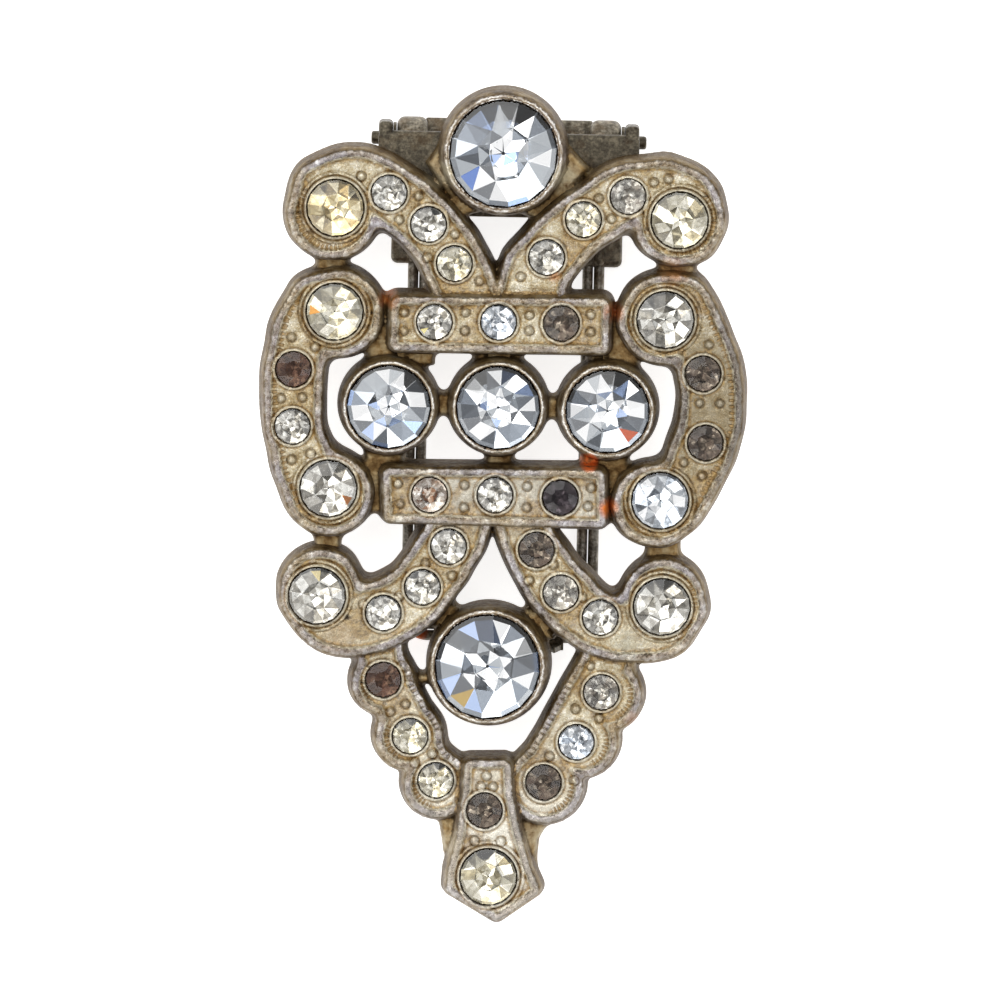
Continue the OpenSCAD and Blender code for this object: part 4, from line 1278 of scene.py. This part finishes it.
def cut_stone(name, x, y, d, girdle, state, seed):
    """A faceted glass crown over a shallow foiled cup whose facets each have their own slope and tint. The
    tints are painted reflections.
    """
    rng = np.random.default_rng(seed)
    r = d / 2
    large = d > MEDIUM_D
    stray = STRAY_LARGE if large else STRAY_SMALL
    centre = RINGED_CENTRE if state == "ringed" else 1
    table_ratio, crown_ratio = CROWNS[0 if large else 1]
    verts, faces, foil, tint, cool = [], [], [], [], []

    def add(points):
        start = len(verts)
        verts.extend(points)
        return list(range(start, start + len(points)))

    def face(corners, is_foil=0, value=1.0):
        faces.append(corners)
        foil.append(is_foil)
        tint.append(value)
        cool.append(COOL_SHARE * float(is_foil and large and rng.random() < COOL_CHANCE))

    def tone(row):
        level = rng.choice(FOIL_TINTS, p=TINT_CHANCES[row])
        return float(level + rng.uniform(*TINT_CHANGE))

    def uneven(points):
        """The points, each a little off its place."""
        shares = (stray, stray, STRAY_HEIGHT)
        return [tuple(c + rng.uniform(-share, share) * r for c, share in zip(point, shares))
                for point in points]

    def cup_ring(count, share, depth, turn=0.0):
        return ring(count, share * r, low_z - depth * r, turn)

    table = add(ring(8, table_ratio * r, crown_ratio * d))
    edge = add(ring(16, r, 0))
    face(table[:])
    for i in range(8):
        j = (i + 1) % 8
        face([edge[2 * i], edge[2 * i + 1], table[i]])
        face([edge[2 * i + 1], edge[(2 * i + 2) % 16], table[j]])
        face([table[i], edge[2 * i + 1], table[j]])
    low_z = -GIRDLE_RATIO * d
    low = add(ring(16, r, low_z))
    for i in range(16):
        j = (i + 1) % 16
        face([edge[i], low[i], low[j], edge[j]], 1, GIRDLE_TINT)
    outer = add(cup_ring(16, *CUP_OUTER))
    middle = add(uneven(cup_ring(8, *CUP_MIDDLE)))
    inner = add(uneven(cup_ring(8, *CUP_INNER, 0.5)))
    culet = add(cup_ring(8, *CUP_CULET))
    for i in range(8):
        j = (i + 1) % 8
        parity = "odd" if i % 2 else "even"
        for k in (2 * i, 2 * i + 1):
            after = (k + 1) % 16
            face([low[k], outer[k], outer[after], low[after]], 1, float(rng.uniform(*EDGE_TINTS)))
        face([outer[2 * i], middle[i], outer[2 * i + 1]], 1, tone("rim_left"))
        face([outer[2 * i + 1], middle[j], outer[(2 * i + 2) % 16]], 1, tone("rim_right"))
        face([middle[i], middle[j], outer[2 * i + 1]], 1, tone("slope_" + parity))
        face([middle[i], inner[i], middle[j]], 1, centre * tone("kite_" + parity))
        face([middle[i], inner[i - 1], inner[i]], 1, centre * tone("kite_side"))
        face([inner[i - 1], culet[i], inner[i]], 1, centre * tone("culet_side"))
        face([inner[i], culet[i], culet[j]], 1, centre * tone("culet"))
    face(culet[::-1], 1, CULET_TINT)
    turn = rng.uniform(0, math.tau)
    c, s = math.cos(turn), math.sin(turn)
    placed = [(x + px * c - py * s, y + px * s + py * c, BACK_Z + girdle + pz) for px, py, pz in verts]
    materials = [GLASS[state], FOIL[state]]
    if name in ACCENTS:
        azimuth, colour = ACCENTS[name]
        turn = math.radians(azimuth)
        aim = ACCENT_REACH * r * np.array([math.cos(turn), math.sin(turn)])
        middles = np.array([np.mean([placed[k][:2] for k in corners], axis=0) for corners in faces]) - (x, y)
        gaps = np.where(np.array(foil) == 1, np.hypot(*(middles - aim).T), math.inf)
        foil[int(np.argmin(gaps))] = 2
        materials.append(foil_material("foil_" + name, [(0, colour), (1, colour)]))
    piece = mesh_object(name + "_cut", placed, faces, materials, smooth=False)
    piece.data.polygons.foreach_set("material_index", foil)
    broken = [0.0 if large else BROKEN_MEDIUM if d > SMALL_D else BROKEN_SMALL] * len(faces)
    for key, values in (("tint", tint), ("broken", broken), ("cool", cool)):
        piece.data.attributes.new(key, "FLOAT", "FACE").data.foreach_set("value", values)
    turn_outward(piece.data)
    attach(piece, "front")
    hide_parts(name)


# Casting and stones

cast = cast_material()
cast_half("cast_upper", UPPER, (-19, -5.2), (18.8, 32.2), cast)
cast_half("cast_lower", LOWER, (-17.8, -32.4), (16.8, 3.2), cast)

GLASS, FOIL = {}, {}
for state, (slot, tint, roughness, patches, stops) in STATES.items():
    GLASS[state] = glass_material("glass_" + state, tint, DARK_IOR if slot == "dark_stone" else BRIGHT_IOR)
    FOIL[state] = foil_material("foil_" + state, stops, patches, roughness)
for number, (name, x, y, d, girdle, _, state) in enumerate(STONES):
    cut_stone(name, x, y, d, girdle, state, SEED + SEED_STEP * number)

# Mechanism

# Sizes of the mechanism, in millimetres
SPRING_L = 8.0
SPRING_R = 0.84
SPRING_WIRE_R = 0.165
SPRING_GAP_RATIO = 1.03

PIN_R = 0.5
PIN_X = 10.35
WASHER_R = 1.2
WASHER_X = (8.46, 8.7)
BRACKET_X = 9.8
BRACKET_T = 0.6
BASE_Y = (22.4, 27.9)
HEM_R = 0.42
EAR_X = (8.72, 9.8)
EAR_Y = (25.6, 28.6)
EAR_R = 1.4
KNUCKLE_X = (6.1, 8.42)
KNUCKLE_R = 1.65
PLATE_Y = (21.3, 28.7)
PLATE_X = 8.33
PLATE_T = 0.7
LUG_X = (5.0, 8.7)
LUG_Y = (17.7, 22.2)
SLEEVE_H = 1.7
WIRE_X = (6.14, 7.0)
SLEEVE_HALF_W = 0.47
RIVETS = [(-6.6, 24), (6.6, 24)]
RIVET_R = 1.2


def both_sides(span):
    """A stretch along X and its mirror image, each from its lower to its upper end."""
    low, high = span
    return [(-high, -low), (low, high)]


def skin(shape, rings, closed):
    """Faces between rings of points. An open row of rings is capped at both ends."""
    sides = len(rings[0])
    for one, two in zip(rings, rings[1:] + rings[:1] if closed else rings[1:]):
        for s in range(sides):
            t = (s + 1) % sides
            shape.faces.new((one[s], one[t], two[t], two[s]))
    if not closed:
        shape.faces.new(rings[0])
        shape.faces.new(rings[-1])


def add_block(shape, low, high, width):
    """A block with rounded edges."""
    verts = bmesh.ops.create_cube(shape, size=1)["verts"]
    low, high = Vector(low), Vector(high)
    for v in verts:
        v.co = Vector([a + (c + 0.5) * (b - a) for a, b, c in zip(low, high, v.co)])
    edges = list({e for v in verts for e in v.link_edges})
    bmesh.ops.bevel(shape, geom=edges, offset=width, segments=4, profile=0.5, affect="EDGES")


def add_turned(shape, profile, y=HINGE_Y, z=HINGE_Z, closed=True, sides=40):
    """A form turned about a line along X, from places along it and radii."""
    angles = np.arange(sides) * math.tau / sides
    skin(shape, [[shape.verts.new((x, y + r * math.cos(a), z + r * math.sin(a))) for a in angles]
                 for x, r in profile], closed)


def rounded_rim(x0, x1, r, width):
    """Profile of a turned form whose two rims are rounded over."""
    turns = np.linspace(0, math.pi / 2, 6)
    rise = [(width * (1 - math.cos(t)), r - width * (1 - math.sin(t))) for t in turns]
    return [(x0 + dx, rim_r) for dx, rim_r in rise] + [(x1 - dx, rim_r) for dx, rim_r in reversed(rise)]


def barrel(x0, x1, r, bore, width):
    return rounded_rim(x0, x1, r, width) + [(x1, bore), (x0, bore)]


def metal_piece(shape, name, body, replaced, material):
    """A finished object from a form drawn in millimetres."""
    bmesh.ops.recalc_face_normals(shape, faces=shape.faces)
    for v in shape.verts:
        v.co *= MM
    mesh = bpy.data.meshes.new(name)
    shape.to_mesh(mesh)
    shape.free()
    mesh.materials.append(material)
    smooth_shaded(mesh, METAL_SHARP)
    piece = linked(name, mesh)
    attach(piece, body)
    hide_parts(replaced)


def bracket_piece(material):
    """The base with a rolled upper edge, and an ear at each end."""
    shape = bmesh.new()
    low_z = BACK_Z - BRACKET_T
    add_block(shape, (-BRACKET_X, BASE_Y[0], low_z), (BRACKET_X, BASE_Y[1] - 0.3, BACK_Z - 0.01), 0.15)
    hem = rounded_rim(-BRACKET_X + 0.1, BRACKET_X - 0.1, HEM_R, 0.2)
    add_turned(shape, hem, BASE_Y[1] - HEM_R, BACK_Z - HEM_R - 0.01, closed=False)
    for x0, x1 in both_sides(EAR_X):
        add_turned(shape, barrel(x0, x1, EAR_R, PIN_R + 0.01, 0.3))
        low = (x0 + 0.02, EAR_Y[0], HINGE_Z + 0.6)
        high = (x1 - 0.02, EAR_Y[1] - 0.02, BACK_Z - 0.05)
        add_block(shape, low, high, 0.3)
    metal_piece(shape, "hinge_bracket_worn", "front", "hinge_bracket", material)


def pin_piece(material):
    """The pin with rounded ends, and a washer beside each ear."""
    shape = bmesh.new()
    add_turned(shape, rounded_rim(-PIN_X, PIN_X, PIN_R, 0.2), closed=False)
    for x0, x1 in both_sides(WASHER_X):
        add_turned(shape, barrel(x0, x1, WASHER_R, PIN_R - 0.02, 0.05))
    metal_piece(shape, "hinge_pin_worn", "front", "hinge_pin", material)


def plate_piece(material):
    """The plate with its tongue, two knuckles and two sleeves rolled over the wires' ends."""
    shape = bmesh.new()
    add_block(shape, (-PLATE_X, PLATE_Y[0], 0), (PLATE_X, HINGE_Y, PLATE_T), 0.16)
    tongue_x = KNUCKLE_X[0] + 0.2
    add_block(shape, (-tongue_x, PLATE_Y[0] + 0.3, 0.015), (tongue_x, PLATE_Y[1], PLATE_T + 0.015), 0.2)
    for x0, x1 in both_sides(KNUCKLE_X):
        add_turned(shape, barrel(x0, x1, KNUCKLE_R, PIN_R + 0.04, 0.6))
    for x0, x1 in both_sides(LUG_X):
        add_block(shape, (x0, LUG_Y[0], 0.01), (x1, LUG_Y[1], SLEEVE_H - 0.2), 0.5)
    for x in WIRE_X:
        for x0, x1 in both_sides((x - SLEEVE_HALF_W, x + SLEEVE_HALF_W)):
            add_block(shape, (x0, LUG_Y[0] + 0.15, 0.6), (x1, LUG_Y[1] - 0.3, SLEEVE_H), 0.4)
    metal_piece(shape, "clip_plate_worn", "clip", "clip_plate", material)


def rivet_pieces(material):
    """The two domed rivets cast on the back, which hold the bracket."""
    shape = bmesh.new()
    seat_z = BACK_Z - BRACKET_T
    profile = [(0.8, BACK_Z + 0.1), (0.8, seat_z - 0.02), (RIVET_R, seat_z - 0.02),
               (RIVET_R - 0.03, seat_z - 0.15), (0.95, seat_z - 0.33), (0.55, seat_z - 0.43),
               (0.15, seat_z - 0.45)]
    for x, y in RIVETS:
        skin(shape, [[shape.verts.new((x + px, y + py, z)) for px, py, _ in ring(28, r, 0)]
                     for r, z in profile], closed=False)
    metal_piece(shape, "cast_rivets", "front", "casting", material)


# Width of the rounded edges of the wires and of the toothed bar, in millimetres
EDGE_ROUNDS = {"outer_wire": 0.1, "inner_wire": 0.1, "tooth_bar": 0.08}

# Points of a CAD part nearer to each other than this, in metres, are one point
SAME_PLACE = 1e-7

# Bends of a CAD part, in degrees, below which it counts as flat and above which it gets a rounded edge
FLAT_BEND = 1
ROUNDED_BEND = 35


def rounded_piece(name, width, material):
    """The CAD part with its sharp edges rounded over."""
    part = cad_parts[name]
    mesh = part.data.copy()
    mesh.transform(part.matrix_world)
    with edited(mesh) as shape:
        bmesh.ops.remove_doubles(shape, verts=shape.verts, dist=SAME_PLACE)
        bmesh.ops.dissolve_limit(shape, angle_limit=math.radians(FLAT_BEND), verts=shape.verts,
                                 edges=shape.edges)
        sharp = [e for e in shape.edges
                 if len(e.link_faces) == 2 and e.calc_face_angle() > math.radians(ROUNDED_BEND)]
        bmesh.ops.bevel(shape, geom=sharp, offset=width * MM, segments=3, profile=0.5, affect="EDGES",
                        clamp_overlap=True)
        bmesh.ops.remove_doubles(shape, verts=shape.verts, dist=SAME_PLACE)
        bmesh.ops.triangulate(shape, faces=[f for f in shape.faces if len(f.verts) > 4])
    mesh.materials.clear()
    mesh.materials.append(material)
    smooth_shaded(mesh, METAL_SHARP)
    piece = linked(name + "_worn", mesh)
    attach(piece, "clip")
    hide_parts(name)


def coil_spring(material):
    """A tightly wound spring round the pin, with flat closed ends."""
    sides = 10
    per_turn = 20
    middle_r = SPRING_R - SPRING_WIRE_R
    pitch = 2 * SPRING_WIRE_R * SPRING_GAP_RATIO
    turns = (SPRING_L - 2 * SPRING_WIRE_R) / pitch
    count = int(turns * per_turn)
    verts, faces = [], []
    for k in range(count + 1):
        a = math.tau * k / per_turn
        x = -SPRING_L / 2 + SPRING_WIRE_R + pitch * k / per_turn
        for b in np.arange(sides) * math.tau / sides:
            r = middle_r + SPRING_WIRE_R * math.cos(b)
            verts.append((
                x + SPRING_WIRE_R * math.sin(b), HINGE_Y + r * math.cos(a), HINGE_Z + r * math.sin(a)))
    for k in range(count):
        for s in range(sides):
            t = (s + 1) % sides
            faces.append((k * sides + s, k * sides + t, (k + 1) * sides + t, (k + 1) * sides + s))
    faces.append(range(sides - 1, -1, -1))
    faces.append(range(count * sides, (count + 1) * sides))
    piece = mesh_object("hinge_spring_coil", verts, faces, [material])
    smooth_shaded(piece.data, COIL_SHARP)
    turn_outward(piece.data)
    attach(piece, "front")
    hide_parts("hinge_spring")


# Metals of the mechanism: name, dark, light, tarnish, how metallic
# The plate's nickel is the bracket's dull nickel made lighter: painted light, standing in for light on the
# lugs, which the casting shades
METALS = [
    ("nickel_dull", (0.022, 0.016, 0.01), (0.185, 0.158, 0.11), (0.06, 0.034, 0.013), 0.75),
    ("plate_nickel_lit", (0.04, 0.032, 0.022), (0.36, 0.315, 0.24), (0.10, 0.06, 0.025), 0.75),
    ("wire_steel", (0.07, 0.06, 0.048), (0.46, 0.43, 0.37), (0.12, 0.08, 0.04), 0.75),
    ("cast_metal_back", (0.10, 0.085, 0.06), (0.34, 0.30, 0.23), (0.13, 0.08, 0.035), 0.5),
]
nickel, lit_plate_metal, steel, rivet_metal = (nickel_material(*row) for row in METALS)
bracket_piece(nickel)
pin_piece(nickel)
plate_piece(lit_plate_metal)
rivet_pieces(rivet_metal)
coil_spring(steel)
for name, width in EDGE_ROUNDS.items():
    rounded_piece(name, width, nickel if name == "tooth_bar" else steel)

# Floor, camera and light

FLOOR_REACH = 1500
floor_material = shaded(new_material("floor_pale"), {
    "Base Color": (0.93, 0.93, 0.92), "Roughness": 0.85,
    "Emission Color": (1, 1, 1), "Emission Strength": 0.8,
})
floor_corners = [(FLOOR_REACH * x, FLOOR_REACH * y, 0) for x, y in ((-1, -1), (1, -1), (1, 1), (-1, 1))]
floor = mesh_object("floor", floor_corners, [(0, 1, 2, 3)], [floor_material])

# The camera's tilt and turn, its distance in metres, and the point it looks at
CAMERA_TILT = math.radians(5)
CAMERA_TURN = math.radians(1.2)
CAMERA_REACH = 1.2
CAMERA_AIM = Vector((-0.116, 0.523, 7.5)) * MM
lens = bpy.data.cameras.new("camera")
lens.lens = 576
lens.sensor_width = 36
lens.clip_end = 20
camera = linked("camera", lens)
camera.rotation_euler = (-CAMERA_TILT, 0, CAMERA_TURN)
away = Vector((0, math.sin(CAMERA_TILT), math.cos(CAMERA_TILT))) * CAMERA_REACH
camera.location = CAMERA_AIM + Vector((
    -away.y * math.sin(CAMERA_TURN), away.y * math.cos(CAMERA_TURN), away.z,
))
bpy.context.scene.camera = camera

# Softboxes, all at one distance in metres: name, azimuth, elevation, width, height, power, colour
SOFTBOX_REACH = 0.6
SOFTBOXES = [
    ("key", 120, 58, 0.46, 0.46, 1.5, (1, 1, 0.99)),
    ("side", -20, 45, 0.2, 0.5, 0.5, (0.95, 0.97, 1)),
    ("low", 230, 48, 0.3, 0.2, 0.4, (1, 0.98, 0.95)),
]
for name, azimuth, elevation, width, height, power, colour in SOFTBOXES:
    light = bpy.data.lights.new(name, "AREA")
    light.shape = "RECTANGLE"
    light.size, light.size_y = width, height
    light.energy = power
    light.color = colour
    lamp = linked(name, light)
    a, e = math.radians(azimuth), math.radians(elevation)
    back = Vector((math.cos(a) * math.cos(e), math.sin(a) * math.cos(e), math.sin(e)))
    lamp.location = back * SOFTBOX_REACH
    lamp.rotation_euler = back.to_track_quat("Z", "Y").to_euler()

world = bpy.data.worlds.new("studio")
bpy.context.scene.world = world
world.use_nodes = True
sky = world.node_tree
upward = Signal(sky, "ShaderNodeSeparateXYZ", {0: Signal(sky, "ShaderNodeTexCoord", output="Generated")}, "Z")
feed(sky.nodes["Background"].inputs["Color"], ramp(upward, [
    (0, (0.48, 0.49, 0.5)), (0.4, (0.55, 0.56, 0.57)), (0.62, (1, 1, 1)), (0.9, (1, 1, 1)),
    (0.97, (0.45, 0.46, 0.48)), (1, (0.4, 0.41, 0.43)),
]))
bpy.context.scene.view_settings.view_transform = "Standard"
